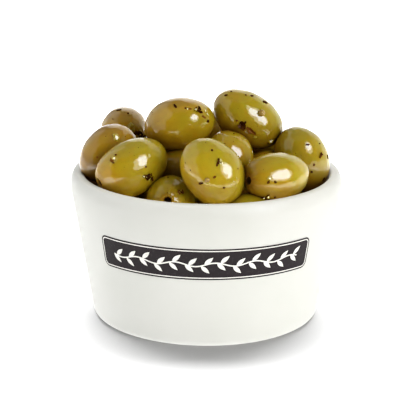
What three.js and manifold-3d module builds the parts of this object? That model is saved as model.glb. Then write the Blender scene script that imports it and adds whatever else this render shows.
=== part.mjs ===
// Bowl of olives: a small white glazed bowl, heaped with large green pitted olives.
//
// Millimetres, +Z up. The origin is on the table under the middle of the bowl,
// +X is to the right and +Y is away from the person who sits in front of it.
//
// The bowl is one solid. The heap is another: a plain core that fills the bowl,
// the olives that lie on and around it, and the larger flakes of herb on them.

import * as THREE from 'three';
import { mergeVertices } from 'three/addons/utils/BufferGeometryUtils.js';
import Module from 'manifold-3d';

// ---- driving dimensions ---------------------------------------------------------

const BOWL_HEIGHT = 54.3;
const WALL_FOOT_RADIUS = 41.7; // where the wall's slope meets the table
const WALL_TOP_RADIUS = 50; // the widest ring, just under the lip
const WALL_TOP_HEIGHT = 48;
const FOOT_ROUNDING = 3;
const LIP_SOFT_WIDTH = 2.05; // the lip's outer shoulder is a quarter of an ellipse
const LIP_SOFT_HEIGHT = 5.3;
const LIP_INNER_ROUNDING = 1;
const MOUTH_RADIUS = 45.4;
const FLOOR_RADIUS = 37.6; // where the inside's slope meets the floor's height
const FLOOR_HEIGHT = 5;
const FLOOR_ROUNDING = 7;
const FOOT_RING_INNER_RADIUS = 36.4;
const FOOT_RECESS_DEPTH = 1;
const FOOT_RECESS_SLOPE = 1.2;
const BOWL_SEGMENTS = 60;

const CLEARANCE = 0.3; // between the heap and the bowl
const CORE_HEIGHT = 43; // the core's edge, hidden between the olives
const CORE_CROWN = 11; // how much higher its middle is
const CORE_SEGMENTS = 24;
const ABOVE_HEAP = 100;

const OLIVE_SEGMENTS = 12;
const OLIVE_RINGS = 8;
const FACET_ALLOWANCE = 1.015; // so that the flat facets lie half in and half out of the skin
const STEM_END_FULLNESS = 0.04; // an olive is a little fuller towards its stem end
const PIT_HOLE_RADIUS = 2.3;
const PIT_HOLE_DEPTH = 7;

const FLAKE_SEGMENTS = 6;
const FLAKE_RINGS = 4;
const FLAKE_THICKNESS = 1.3; // half of it is sunk in the olive
const VIEW_TILT = 16; // degrees: how far above the table the heap is looked at from

// ---- the olives -------------------------------------------------------------------

// The olives that make the heap's outline. Each row: the centre x, y, z; the
// length and width; the heading and lift, in degrees, of the stem end; and
// whether the hole left by the pit is open.
const HEAP = {
  topLeft: [-10, -2, 71.5, 26, 19.5, 173, -14, false],
  topRight: [15, 4, 72.5, 28, 19.5, 2, -33, false],
  backLeft: [-32, 20, 63.5, 23, 16.5, 85, 14, true],
  left: [-35.5, -3.5, 61, 23.5, 18, 35, 38, false],
  frontLeft: [-26.5, -19, 59.5, 27.5, 19.5, -151, -19, true],
  front: [2, -30, 61, 26, 21, 4, -52, false],
  middle: [8.5, -8.5, 62.5, 21, 16, 116, 7, false],
  frontRight: [25, -25, 58, 25, 18, -142, 4, true],
  right: [34.5, -1.5, 58.5, 25, 19.5, -6, -55, false],
  lowFront: [-12.5, -23.5, 48.5, 24, 18, -100, 19, true],
  lowRight: [13, -31, 43.5, 23, 17.5, -7, 6, false],
  gapLeft: [-10, -6, 54.5, 22, 17, 10, 15, false],
  gapRight: [17, 4, 54, 20, 17, -8, 5, false],
  back: [0, 20.5, 62.5, 23.5, 18, 40, 8, true],
  backRight: [19.5, 18.5, 60, 22, 17, 10, -5, true],
  behindLeft: [-17, 10.5, 56.5, 22, 17.5, 60, 5, false],
  wallBackRight: [32, 14.5, 48.5, 23, 17.5, 115, 8, false],
  wallBack: [15.5, 31.5, 49.5, 23, 17.5, 155, -6, false],
  wallBackMiddle: [-7.5, 33.5, 52.5, 23, 17.5, 190, 8, true],
  wallBackLeft: [-26, 22.5, 48.5, 23, 17.5, 225, -5, false],
  wallLeft: [-33.5, 5.5, 41, 23, 17.5, 85, 6, false],
  wallFrontLeft: [-27, -19.5, 38.5, 23, 17.5, 130, -6, false],
  wallRight: [32.5, -7, 38, 23, 17.5, 75, 6, false],
  middleRight: [20, -12, 46, 22, 17, 100, 0, false],
};

// ---- the herbs --------------------------------------------------------------------

// Flakes of herb on the side that faces the table's front. Each row: the olive,
// the distance across and up from its middle, the flake's length and width, and
// its turn in degrees.
const FRONT_FLAKES = [
  ['topRight', 0, -4.2, 7, 3.2, -38],
  ['topRight', -2, -2.5, 2.2, 1.6, 20],
  ['topRight', 1.5, 7.5, 2.2, 1.3, -15],
  ['topRight', 5.8, 5.6, 3.2, 1.8, -28],
  ['topRight', 4.6, 1.7, 2.6, 2.4, 0],
  ['backLeft', -2, 8.5, 2.8, 1.6, 35],
  ['backLeft', 1.5, 6.5, 1.6, 1.3, 0],
  ['backLeft', 5.5, -1, 3.2, 2, -20],
  ['backLeft', 7.5, -2, 3, 2, 10],
  ['frontLeft', -6, 3, 3.4, 1.8, -55],
  ['frontLeft', 6.5, -3.2, 3, 1.8, 30],
  ['frontLeft', 5.2, -4.6, 1.8, 1.3, 10],
  ['topLeft', -1.5, 6.5, 2.4, 1.3, -50],
  ['topLeft', 6.4, 4.8, 3, 2.2, -15],
  ['topLeft', 9.8, 1.6, 2.4, 1.4, -45],
  ['front', -0.5, 7.3, 1.6, 1.4, 0],
  ['front', 2.3, 3.2, 2.8, 1.6, -60],
  ['front', -1.2, -2.6, 3, 1.6, 10],
  ['front', 3.1, -5.4, 1.5, 1.4, 0],
  ['frontRight', -3.2, -1.5, 2, 1.7, 40],
  ['frontRight', -1, -2, 1.8, 1.5, -30],
  ['frontRight', -3.4, -7, 3, 1.6, 5],
  ['frontRight', 3, -6.6, 2.2, 1.4, 15],
  ['right', 2, 5, 1.8, 1.4, 0],
  ['right', 6.8, 0.9, 1.6, 1.4, 60],
  ['right', 5, -2.1, 1.6, 1.4, 70],
  ['right', 3.6, -4.6, 2, 1.4, 50],
];
const FAR_FLAKES_PER_OLIVE = 2;
const FAR_FLAKE_LENGTH = [1.6, 3.2]; // shortest and longest

// ---- materials --------------------------------------------------------------------

const GLAZE = new THREE.MeshStandardMaterial({ color: 0xeff0ea, roughness: 0.35, metalness: 0 });
const OLIVE_SKIN = new THREE.MeshStandardMaterial({ color: 0x9c8a24, roughness: 0.2, metalness: 0 });

// ---- helpers ----------------------------------------------------------------------

const wasm = await Module();
wasm.setup();

/** Repeatable draw between 0 and 1, the same for the same two whole numbers. */
function draw(index, salt) {
  const wave = Math.sin(index * 12.9898 + salt * 78.233) * 43758.5453;
  return wave - Math.floor(wave);
}

function between([low, high], share) {
  return low + (high - low) * share;
}

/** Points on a quarter or part of an ellipse, angles in degrees from +radius. */
function arc(radius, height, width, rise, from, to, steps) {
  const points = [];
  for (let i = 0; i <= steps; i++) {
    const angle = THREE.MathUtils.degToRad(from + ((to - from) * i) / steps);
    points.push(new THREE.Vector2(radius + width * Math.cos(angle), height + rise * Math.sin(angle)));
  }
  return points;
}

/** Turns a profile of (radius, height) points about the Z axis. */
function turned(profile, segments) {
  const geometry = new THREE.LatheGeometry(profile, segments);
  geometry.rotateX(Math.PI / 2);
  return geometry;
}

/** The closed solid inside a geometry, for joining and cutting. */
function solidOf(source) {
  const bare = source.index ? source.clone() : mergeVertices(source);
  bare.deleteAttribute('normal');
  bare.deleteAttribute('uv');
  const geometry = mergeVertices(bare, 1e-4);
  const index = geometry.index.array;
  const corners = [];
  for (let i = 0; i < index.length; i += 3) {
    const [a, b, c] = [index[i], index[i + 1], index[i + 2]];
    if (a !== b && b !== c && c !== a) corners.push(a, b, c);
  }
  return new wasm.Manifold(new wasm.Mesh({
    numProp: 3,
    vertProperties: new Float32Array(geometry.attributes.position.array),
    triVerts: new Uint32Array(corners),
  }));
}

function geometryOf(solid) {
  const mesh = solid.getMesh();
  const geometry = new THREE.BufferGeometry();
  geometry.setAttribute('position', new THREE.BufferAttribute(mesh.vertProperties, 3));
  geometry.setIndex(new THREE.BufferAttribute(mesh.triVerts, 1));
  geometry.computeVertexNormals();
  return geometry;
}

// ---- the bowl ---------------------------------------------------------------------

/** The inside, from the floor's middle to the mouth, moved in by a gap. */
function insideProfile(gap) {
  const slope = (MOUTH_RADIUS - FLOOR_RADIUS) / (BOWL_HEIGHT - LIP_INNER_ROUNDING - FLOOR_HEIGHT);
  const rounding = FLOOR_ROUNDING - gap;
  const cornerRadius = FLOOR_RADIUS + slope * FLOOR_ROUNDING - FLOOR_ROUNDING;
  return [
    new THREE.Vector2(0, FLOOR_HEIGHT + gap),
    ...arc(cornerRadius, FLOOR_HEIGHT + FLOOR_ROUNDING, rounding, rounding, -90, -8, 3),
    new THREE.Vector2(MOUTH_RADIUS - gap, BOWL_HEIGHT - LIP_INNER_ROUNDING),
  ];
}

function bowlGeometry() {
  const footRing = FOOT_RING_INNER_RADIUS;
  const cornerRadius = WALL_FOOT_RADIUS
    + ((WALL_TOP_RADIUS - WALL_FOOT_RADIUS) * FOOT_ROUNDING) / WALL_TOP_HEIGHT
    - FOOT_ROUNDING;
  const shoulderRadius = WALL_TOP_RADIUS - LIP_SOFT_WIDTH;
  const shoulderHeight = BOWL_HEIGHT - LIP_SOFT_HEIGHT;
  const lipRadius = MOUTH_RADIUS + LIP_INNER_ROUNDING;
  const lipHeight = BOWL_HEIGHT - LIP_INNER_ROUNDING;
  return turned([
    new THREE.Vector2(0, FOOT_RECESS_DEPTH),
    new THREE.Vector2(footRing - FOOT_RECESS_SLOPE, FOOT_RECESS_DEPTH),
    new THREE.Vector2(footRing, 0),
    ...arc(cornerRadius, FOOT_ROUNDING, FOOT_ROUNDING, FOOT_ROUNDING, -90, 0, 3),
    new THREE.Vector2(WALL_TOP_RADIUS, WALL_TOP_HEIGHT),
    ...arc(shoulderRadius, shoulderHeight, LIP_SOFT_WIDTH, LIP_SOFT_HEIGHT, 0, 90, 5),
    ...arc(lipRadius, lipHeight, LIP_INNER_ROUNDING, LIP_INNER_ROUNDING, 90, 180, 2),
    ...insideProfile(0).reverse().slice(1),
  ], BOWL_SEGMENTS);
}

// ---- the heap ---------------------------------------------------------------------

function coreGeometry() {
  const [middle, ...rest] = insideProfile(CLEARANCE);
  const mouth = rest.pop();
  const corner = rest[rest.length - 1];
  const share = (CORE_HEIGHT - corner.y) / (mouth.y - corner.y);
  return turned([
    middle,
    ...rest,
    corner.clone().lerp(mouth, share),
    new THREE.Vector2(0, CORE_HEIGHT + CORE_CROWN),
  ], CORE_SEGMENTS);
}

/** All the room that the heap may take: the bowl's inside and the space above it. */
function roomGeometry() {
  const lipRadius = MOUTH_RADIUS + LIP_INNER_ROUNDING;
  const lipHeight = BOWL_HEIGHT - LIP_INNER_ROUNDING;
  const rounding = LIP_INNER_ROUNDING + CLEARANCE;
  const far = WALL_TOP_RADIUS;
  return turned([
    ...insideProfile(CLEARANCE).slice(0, -1),
    ...arc(lipRadius, lipHeight, rounding, rounding, 180, 90, 3),
    new THREE.Vector2(far, BOWL_HEIGHT + CLEARANCE),
    new THREE.Vector2(far, ABOVE_HEAP),
    new THREE.Vector2(0, ABOVE_HEAP),
  ], BOWL_SEGMENTS);
}

/** The profile of an olive along its own axis, from its tip to its stem end. */
function oliveProfile(length, width, open) {
  const last = open ? Math.PI - Math.asin(PIT_HOLE_RADIUS / (width / 2)) : Math.PI;
  const points = [];
  for (let i = 0; i <= OLIVE_RINGS; i++) {
    const t = (last * i) / OLIVE_RINGS;
    const full = 1 - STEM_END_FULLNESS * Math.cos(t) * Math.sin(t);
    const radius = i === 0 || (i === OLIVE_RINGS && !open) ? 0 : (width / 2) * FACET_ALLOWANCE * Math.sin(t) * full;
    points.push(new THREE.Vector2(radius, -(length / 2) * Math.cos(t)));
  }
  if (open) {
    const bottom = length / 2 - PIT_HOLE_DEPTH;
    points.push(new THREE.Vector2(PIT_HOLE_RADIUS * 0.8, bottom + 1));
    points.push(new THREE.Vector2(0, bottom));
  }
  return points;
}

function stemDirection(heading, lift) {
  const turn = THREE.MathUtils.degToRad(heading);
  const rise = THREE.MathUtils.degToRad(lift);
  return new THREE.Vector3(
    Math.cos(rise) * Math.cos(turn),
    Math.cos(rise) * Math.sin(turn),
    Math.sin(rise),
  );
}

class Olive {
  constructor([x, y, z, length, width, heading, lift, open]) {
    this.centre = new THREE.Vector3(x, y, z);
    this.axis = stemDirection(heading, lift);
    this.length = length;
    this.width = width;
    this.open = open;
  }

  geometry() {
    const profile = oliveProfile(this.length, this.width, this.open);
    const geometry = new THREE.LatheGeometry(profile, OLIVE_SEGMENTS);
    const up = new THREE.Vector3(0, 1, 0);
    geometry.applyQuaternion(new THREE.Quaternion().setFromUnitVectors(up, this.axis));
    geometry.translate(...this.centre);
    return geometry;
  }

  /** 1 on the skin, less inside and more outside. */
  level(point) {
    const offset = point.clone().sub(this.centre);
    const along = offset.dot(this.axis);
    const aside = Math.sqrt(Math.max(offset.lengthSq() - along * along, 0));
    return Math.hypot(along / (this.length / 2), aside / (this.width / 2));
  }

  /** Where a line through the olive, given by a point and a direction, leaves its skin. */
  skinPoint(start, direction) {
    let near = 0;
    let far = this.length;
    for (let i = 0; i < 30; i++) {
      const middle = (near + far) / 2;
      const point = start.clone().addScaledVector(direction, middle);
      if (this.level(point) < 1) near = middle;
      else far = middle;
    }
    return start.clone().addScaledVector(direction, near);
  }

  /** The outward direction at a point on the skin. */
  skinNormal(point) {
    const offset = point.clone().sub(this.centre);
    const along = offset.dot(this.axis);
    const aside = offset.clone().addScaledVector(this.axis, -along);
    return aside.divideScalar((this.width / 2) ** 2)
      .addScaledVector(this.axis, along / (this.length / 2) ** 2)
      .normalize();
  }
}

/** A flat scrap of herb on the skin, its length turned from the level by an angle. */
function flakeGeometry(olive, point, length, width, turnAngle) {
  const normal = olive.skinNormal(point);
  const level = new THREE.Vector3(0, 0, 1).cross(normal).normalize();
  const along = level.applyAxisAngle(normal, THREE.MathUtils.degToRad(turnAngle));
  const across = normal.clone().cross(along);
  const geometry = new THREE.SphereGeometry(0.5, FLAKE_SEGMENTS, FLAKE_RINGS);
  geometry.rotateX(Math.PI / 2);
  geometry.scale(length, width, FLAKE_THICKNESS);
  geometry.applyMatrix4(new THREE.Matrix4().makeBasis(along, across, normal));
  geometry.translate(...point);
  return geometry;
}

function frontFlakes(olives) {
  const tilt = THREE.MathUtils.degToRad(VIEW_TILT);
  const up = new THREE.Vector3(0, Math.sin(tilt), Math.cos(tilt));
  const toFront = new THREE.Vector3(0, -Math.cos(tilt), Math.sin(tilt));
  return FRONT_FLAKES.map(([name, across, rise, length, width, turnAngle]) => {
    const olive = olives[name];
    const start = olive.centre.clone().addScaledVector(up, rise);
    start.x += across;
    return flakeGeometry(olive, olive.skinPoint(start, toFront), length, width, turnAngle);
  });
}

function farFlakes(olives) {
  const all = Object.values(olives);
  const flakes = [];
  all.forEach((olive, k) => {
    for (let n = 0; n < FAR_FLAKES_PER_OLIVE; n++) {
      const direction = stemDirection(10 + 160 * draw(k, n), 5 + 75 * draw(k, n + 10));
      const point = olive.skinPoint(olive.centre, direction);
      const length = between(FAR_FLAKE_LENGTH, draw(k, n + 20));
      const turnAngle = 180 * draw(k, n + 30);
      const hidden = all.some((other) => other !== olive && other.level(point) < 1.15);
      if (!hidden && point.z > BOWL_HEIGHT) {
        flakes.push(flakeGeometry(olive, point, length, length * 0.6, turnAngle));
      }
    }
  });
  return flakes;
}

function heapGeometry() {
  const olives = {};
  for (const [name, row] of Object.entries(HEAP)) olives[name] = new Olive(row);
  const pieces = [
    coreGeometry(),
    ...Object.values(olives).map((olive) => olive.geometry()),
    ...frontFlakes(olives),
    ...farFlakes(olives),
  ];
  const joined = pieces.map(solidOf).reduce((heap, piece) => heap.add(piece));
  return geometryOf(joined.intersect(solidOf(roomGeometry())));
}

// ---- assembly ---------------------------------------------------------------------

function named(name, geometry, material) {
  const mesh = new THREE.Mesh(geometry, material);
  mesh.name = name;
  return mesh;
}

const part = new THREE.Group();
part.add(named('bowl', bowlGeometry(), GLAZE));
part.add(named('olives', heapGeometry(), OLIVE_SKIN));

export default part;
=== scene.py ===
"""Looks of a small glazed bowl, heaped with oiled green olives and dried herbs.

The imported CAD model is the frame. Sizes in the classes are millimetres, as they
would be measured on the real thing, and MM turns them into Blender's metres.
+Z is up, and -Y is the side of the bowl that carries the printed panel.
"""

import logging
import math
from collections.abc import Iterable, Sequence
from dataclasses import dataclass, field
from enum import Enum
from typing import ClassVar

import bpy
import numpy as np
from mathutils import Matrix, Vector, noise
from mathutils.bvhtree import BVHTree


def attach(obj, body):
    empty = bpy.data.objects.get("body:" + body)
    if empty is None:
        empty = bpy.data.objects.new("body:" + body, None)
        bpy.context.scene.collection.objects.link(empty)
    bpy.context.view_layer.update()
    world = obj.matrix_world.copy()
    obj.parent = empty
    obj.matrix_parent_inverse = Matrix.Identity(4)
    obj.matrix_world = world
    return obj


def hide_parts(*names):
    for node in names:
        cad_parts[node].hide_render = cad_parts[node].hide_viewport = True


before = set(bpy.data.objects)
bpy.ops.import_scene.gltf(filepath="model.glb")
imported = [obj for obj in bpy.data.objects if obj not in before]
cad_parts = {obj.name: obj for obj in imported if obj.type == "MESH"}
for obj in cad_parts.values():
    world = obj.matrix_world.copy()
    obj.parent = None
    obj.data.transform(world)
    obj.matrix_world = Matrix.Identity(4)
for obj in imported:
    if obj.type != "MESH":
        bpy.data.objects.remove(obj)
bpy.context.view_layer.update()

log = logging.getLogger("bowl_of_olives")

MM = 0.001
BODY = "root"
FRONT_TILT = 16.0  # degrees: how far above the level the listed things are seen from
TARGET = (0.72, 0.0, 39.23)  # millimetres: the place that the camera and every light face
VIEWER_PLACE = (0.0, 16.05, 556.0)  # azimuth, elevation and distance, as stand() takes them
GLINT_PLACE = (44.0, 24.0, 885.0)  # the same, of the window's glint

Colour = tuple[float, float, float]
Face = tuple[int, ...]
Shape = tuple[np.ndarray, list[Face]]
Spot = tuple[float, float]


# ---- small mathematics -----------------------------------------------------------


def draw(index: int, salt: int) -> float:
    """Repeatable draw between 0 and 1 for two whole numbers.

    Args:
        index: Which thing the draw is for.
        salt: Which of that thing's draws it is.

    Returns:
        The same number between 0 and 1 for the same two arguments.
    """
    wave = math.sin(index * 12.9898 + salt * 78.233) * 43758.5453
    return wave - math.floor(wave)


def between(low: float, high: float, share: float) -> float:
    """The number that lies a share of the way from low to high."""
    return low + (high - low) * share


def direction(heading: float, lift: float) -> Vector:
    """Unit vector of a heading about Z and a lift above the level.

    Args:
        heading: Degrees from +X towards +Y.
        lift: Degrees above the level.

    Returns:
        The unit vector.
    """
    turn, rise = math.radians(heading), math.radians(lift)
    level = math.cos(rise)
    return Vector((level * math.cos(turn), level * math.sin(turn), math.sin(rise)))


def stand(azimuth: float, elevation: float, distance: float) -> Vector:
    """A place round the bowl.

    Args:
        azimuth: Degrees from the viewer's side towards +X.
        elevation: Degrees above the level.
        distance: Millimetres from the middle of the scene.

    Returns:
        The place in millimetres.
    """
    return direction(azimuth - 90.0, elevation) * distance + Vector(TARGET)


VIEWER = stand(*VIEWER_PLACE)
WINDOW = stand(*GLINT_PLACE)


def glint_way(point: Vector) -> Vector:
    """The way that wet skin at a point faces if it sends the window's light to the viewer."""
    return ((WINDOW - point).normalized() + (VIEWER - point).normalized()).normalized()


def front_ways() -> tuple[Vector, Vector]:
    """The way towards someone a little above the level in front, and the way up as they see it."""
    tilt = math.radians(FRONT_TILT)
    return Vector((0, -math.cos(tilt), math.sin(tilt))), Vector((0, math.sin(tilt), math.cos(tilt)))


def arc(centre: Sequence[float], width: float, rise: float, start: float, end: float,
        steps: int) -> list[Spot]:
    """Points on part of an ellipse in a profile.

    Args:
        centre: Radius and height of the ellipse's middle.
        width: Half axis along the radius.
        rise: Half axis along the height.
        start: First angle in degrees, from the outward radius.
        end: Last angle in degrees.
        steps: Number of steps between them.

    Returns:
        The points, as (radius, height).
    """
    angles = [math.radians(between(start, end, i / steps)) for i in range(steps + 1)]
    return [(centre[0] + width * math.cos(a), centre[1] + rise * math.sin(a)) for a in angles]


def turned(profile: Sequence[Sequence[float]], segments: int) -> Shape:
    """Closed surface of a profile turned about Z.

    Args:
        profile: Points (radius, height), the first and the last on the axis.
        segments: Number of sides round the axis.

    Returns:
        Vertices, in the profile's unit, and faces that look outwards.
    """
    rings = profile[1:-1]
    angles = np.linspace(0, 2 * math.pi, segments, endpoint=False)
    circle = np.stack([np.cos(angles), np.sin(angles)], axis=1)
    points = [np.array([[0.0, 0.0, profile[0][1]]])]
    for radius, height in rings:
        points.append(np.column_stack([circle * radius, np.full(segments, height)]))
    points.append(np.array([[0.0, 0.0, profile[-1][1]]]))
    top = 1 + segments * len(rings)
    faces: list[Face] = []
    for j in range(segments):
        k = (j + 1) % segments
        faces.append((0, 1 + k, 1 + j))
        for i in range(len(rings) - 1):
            low, high = 1 + i * segments, 1 + (i + 1) * segments
            faces.append((low + j, low + k, high + k, high + j))
        last = top - segments
        faces.append((last + j, last + k, top))
    return np.vstack(points), faces


# ---- meshes ----------------------------------------------------------------------


@dataclass
class MeshGatherer:
    """Gathers closed pieces that become one mesh, with their painted values."""

    points: list[np.ndarray] = field(default_factory=list)
    faces: list[Face] = field(default_factory=list)
    values: dict[str, list[np.ndarray]] = field(default_factory=dict)
    count: int = 0

    def add(self, points: np.ndarray, faces: Iterable[Face], **values: np.ndarray | float) -> None:
        """Adds one piece.

        Args:
            points: Its vertices in millimetres.
            faces: Its faces, counted from its own first vertex.
            **values: A number, or one for each vertex, under each painted name.
        """
        self.points.append(points)
        self.faces.extend(tuple(i + self.count for i in face) for face in faces)
        for name, value in values.items():
            self.values.setdefault(name, []).append(np.broadcast_to(value, len(points)))
        self.count += len(points)

    def to_object(self, name: str, material: bpy.types.Material, smooth: bool = True) -> bpy.types.Object:
        """Makes the gathered pieces into one object.

        Args:
            name: The object's name.
            material: Its finish.
            smooth: Whether the faces are shaded smooth.

        Returns:
            The new object, linked to the scene.
        """
        mesh = bpy.data.meshes.new(name)
        mesh.from_pydata((np.vstack(self.points) * MM).tolist(), [], self.faces)
        for label, parts in self.values.items():
            layer = mesh.attributes.new(label, "FLOAT", "POINT")
            layer.data.foreach_set("value", np.concatenate(parts).astype(np.float32))
        mesh.polygons.foreach_set("use_smooth", [smooth] * len(mesh.polygons))
        mesh.materials.append(material)
        mesh.update()
        piece = bpy.data.objects.new(name, mesh)
        bpy.context.scene.collection.objects.link(piece)
        return piece


# ---- finishes --------------------------------------------------------------------


class Shader:
    """A material's node tree, with short calls for the nodes that the finishes share."""

    def __init__(self, name: str) -> None:
        """Starts a material with one Principled surface.

        Args:
            name: The material's name.
        """
        self.material = bpy.data.materials.new(name)
        self.material.use_nodes = True
        self.nodes = self.material.node_tree.nodes
        self.links = self.material.node_tree.links
        self.surface = self.nodes["Principled BSDF"]
        self.point = self.nodes.new("ShaderNodeTexCoord").outputs["Object"]

    def set(self, **constants: float | Colour) -> None:
        """Sets the surface's own sockets, each under its name written with underscores."""
        for label, value in constants.items():
            self.surface.inputs[label.replace("_", " ")].default_value = value

    def join(self, source: bpy.types.NodeSocket, label: str) -> None:
        """Links a socket to the surface's input of that name."""
        self.links.new(source, self.surface.inputs[label])

    def noise(self, size: float, detail: float = 2.0) -> bpy.types.NodeSocket:
        """Noise in the piece's own space.

        Args:
            size: How many millimetres its lumps are across, about.
            detail: How many finer layers it has.

        Returns:
            The socket of its level, from 0 to 1.
        """
        node = self.nodes.new("ShaderNodeTexNoise")
        node.inputs["Scale"].default_value = 1.0 / (size * MM)
        node.inputs["Detail"].default_value = detail
        self.links.new(self.point, node.inputs["Vector"])
        return node.outputs["Fac"]

    def painted(self, label: str) -> bpy.types.NodeSocket:
        """Number painted on the mesh.

        Args:
            label: The name that it is painted under.

        Returns:
            Its socket.
        """
        node = self.nodes.new("ShaderNodeAttribute")
        node.attribute_name = label
        return node.outputs["Fac"]

    def spread(self, value: bpy.types.NodeSocket, low: float, high: float, first: float = 0.0,
               last: float = 1.0) -> bpy.types.NodeSocket:
        """Maps one stretch of numbers onto another, held at both ends.

        Args:
            value: The number that is mapped.
            low: Where its stretch starts.
            high: Where its stretch ends.
            first: What low becomes.
            last: What high becomes.

        Returns:
            The mapped number's socket.
        """
        node = self.nodes.new("ShaderNodeMapRange")
        self.links.new(value, node.inputs["Value"])
        for label, number in (("From Min", low), ("From Max", high), ("To Min", first), ("To Max", last)):
            node.inputs[label].default_value = number
        return node.outputs["Result"]

    def sum(self, first: bpy.types.NodeSocket, second: bpy.types.NodeSocket) -> bpy.types.NodeSocket:
        """Adds two numbers.

        Args:
            first: One of them.
            second: The other.

        Returns:
            The socket of their sum.
        """
        node = self.nodes.new("ShaderNodeMath")
        for socket, term in zip(node.inputs, (first, second)):
            self.links.new(term, socket)
        return node.outputs[0]

    def mix(self, share: bpy.types.NodeSocket, first: Colour | bpy.types.NodeSocket,
            second: Colour | bpy.types.NodeSocket) -> bpy.types.NodeSocket:
        """Mixes two colours.

        Args:
            share: How much of the second there is, from 0 to 1.
            first: The colour, or its socket, at 0.
            second: The colour, or its socket, at 1.

        Returns:
            The mixed colour's socket.
        """
        node = self.nodes.new("ShaderNodeMix")
        node.data_type = "RGBA"
        self.links.new(share, node.inputs["Factor"])
        for socket, value in ((node.inputs[6], first), (node.inputs[7], second)):
            if isinstance(value, bpy.types.NodeSocket):
                self.links.new(value, socket)
            else:
                socket.default_value = (*value, 1.0)
        return node.outputs[2]

    def bump(self, height: bpy.types.NodeSocket, depth: float,
             under: bpy.types.NodeSocket | None = None) -> bpy.types.NodeSocket:
        """Fine relief.

        Args:
            height: Its level, from 0 to 1.
            depth: Its depth in millimetres.
            under: Another relief that it lies over, if there is one.

        Returns:
            The socket of the way out of the relief.
        """
        node = self.nodes.new("ShaderNodeBump")
        node.inputs["Distance"].default_value = depth * MM
        self.links.new(height, node.inputs["Height"])
        if under is not None:
            self.links.new(under, node.inputs["Normal"])
        return node.outputs["Normal"]


@dataclass(frozen=True)
class OliveSkin:
    """Cured olive skin under a film of oil, green to brown from one olive to the next."""

    green: Colour = (0.460, 0.366, 0.018)
    gold: Colour = (0.510, 0.315, 0.016)
    brown: Colour = (0.300, 0.165, 0.014)
    flesh: Colour = (0.440, 0.300, 0.060)
    # The stem end's brown is partly painted shade.
    stem_end: Colour = (0.210, 0.090, 0.006)
    shade: Colour = (0.095, 0.042, 0.005)
    roughness: tuple[float, float] = (0.36, 0.50)
    cloud_size: float = 12.0
    cloud_tone: float = 0.16
    patch_size: float = 4.5
    pore_size: float = 0.45
    pore_depth: float = 0.02
    film_size: float = 2.6
    film_depth: float = 0.13

    def material(self) -> bpy.types.Material:
        """Makes the skin.

        Returns:
            Its material, which reads tone, flesh, stem and painted shade from the mesh.
        """
        skin = Shader("oiled_olive_skin")
        clouds = skin.noise(self.cloud_size)
        patches = skin.noise(self.patch_size, detail=3.0)
        pores = skin.noise(self.pore_size)
        shift = skin.spread(clouds, 0.3, 0.7, -self.cloud_tone, self.cloud_tone)
        tone = skin.sum(skin.painted("tone"), shift)
        colour = skin.mix(skin.spread(tone, 0.0, 0.5), self.green, self.gold)
        colour = skin.mix(skin.spread(tone, 0.5, 1.0), colour, self.brown)
        colour = skin.mix(skin.spread(patches, 0.50, 0.75, 0.0, 0.35), colour, self.gold)
        colour = skin.mix(skin.spread(pores, 0.62, 0.72, 0.0, 0.30), colour, self.brown)
        # Painted shade: the last mix turns the skin to the shade colour where olives meet, by the wall,
        # underneath and in the bores.
        for label, tint in (("flesh", self.flesh), ("stem", self.stem_end), ("crevice", self.shade)):
            colour = skin.mix(skin.painted(label), colour, tint)
        skin.join(colour, "Base Color")
        dull = skin.sum(skin.painted("crevice"), skin.painted("stem"))
        skin.join(skin.spread(dull, 0.25, 0.75, 1.0, 0.10), "Coat Weight")
        skin.join(skin.spread(patches, 0.3, 0.7, *self.roughness), "Roughness")
        film = skin.bump(skin.noise(self.film_size, detail=0.5), self.film_depth)
        skin.join(film, "Coat Normal")
        skin.join(skin.bump(pores, self.pore_depth, under=film), "Normal")
        skin.set(Subsurface_Weight=0.35, Subsurface_Scale=0.0030, Subsurface_Radius=(1.0, 0.5, 0.08),
                 Coat_Roughness=0.02, Coat_IOR=1.6, Specular_IOR_Level=0.1, IOR=1.45)
        return skin.material


@dataclass(frozen=True)
class OilyShade:
    """The dark, wet depth between the olives."""

    # Painted shade: the deep heap takes these dark colours.
    dark: Colour = (0.020, 0.011, 0.003)
    lighter: Colour = (0.075, 0.048, 0.006)
    lump_size: float = 5.0
    lump_depth: float = 1.2

    def material(self) -> bpy.types.Material:
        """Makes the shade.

        Returns:
            Its material.
        """
        shade = Shader("oily_shade")
        lumps = shade.noise(self.lump_size, detail=3.0)
        shade.join(shade.mix(shade.spread(lumps, 0.4, 0.7), self.dark, self.lighter), "Base Color")
        shade.join(shade.spread(lumps, 0.3, 0.7, 0.25, 0.5), "Roughness")
        shade.join(shade.bump(lumps, self.lump_depth), "Normal")
        return shade.material


@dataclass(frozen=True)
class SatinGlaze:
    """Off-white satin glaze, very slightly uneven in tone and level, with painted shade inside."""

    pale: Colour = (0.566, 0.567, 0.536)
    deep: Colour = (0.543, 0.548, 0.512)
    # Painted shade: the brown of the inside of the wall below the lip.
    oil: Colour = (0.120, 0.060, 0.015)
    roughness: tuple[float, float] = (0.42, 0.52)
    cloud_size: float = 28.0
    ripple_size: float = 9.0
    ripple_depth: float = 0.08
    grain_size: float = 0.6
    grain_depth: float = 0.006

    def material(self) -> bpy.types.Material:
        """Makes the glaze.

        Returns:
            Its material, which reads the painted shade inside from the mesh.
        """
        glaze = Shader("satin_glaze")
        clouds = glaze.noise(self.cloud_size)
        ripple = glaze.noise(self.ripple_size, detail=1.0)
        grain = glaze.noise(self.grain_size)
        white = glaze.mix(glaze.spread(clouds, 0.35, 0.65), self.pale, self.deep)
        # Painted shade inside the wall, below the lip.
        glaze.join(glaze.mix(glaze.painted("stain"), white, self.oil), "Base Color")
        glaze.join(glaze.spread(clouds, 0.3, 0.7, *self.roughness), "Roughness")
        ground = glaze.bump(ripple, self.ripple_depth)
        glaze.join(glaze.bump(grain, self.grain_depth, under=ground), "Normal")
        glaze.set(Specular_IOR_Level=0.35, IOR=1.45)
        return glaze.material


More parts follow.
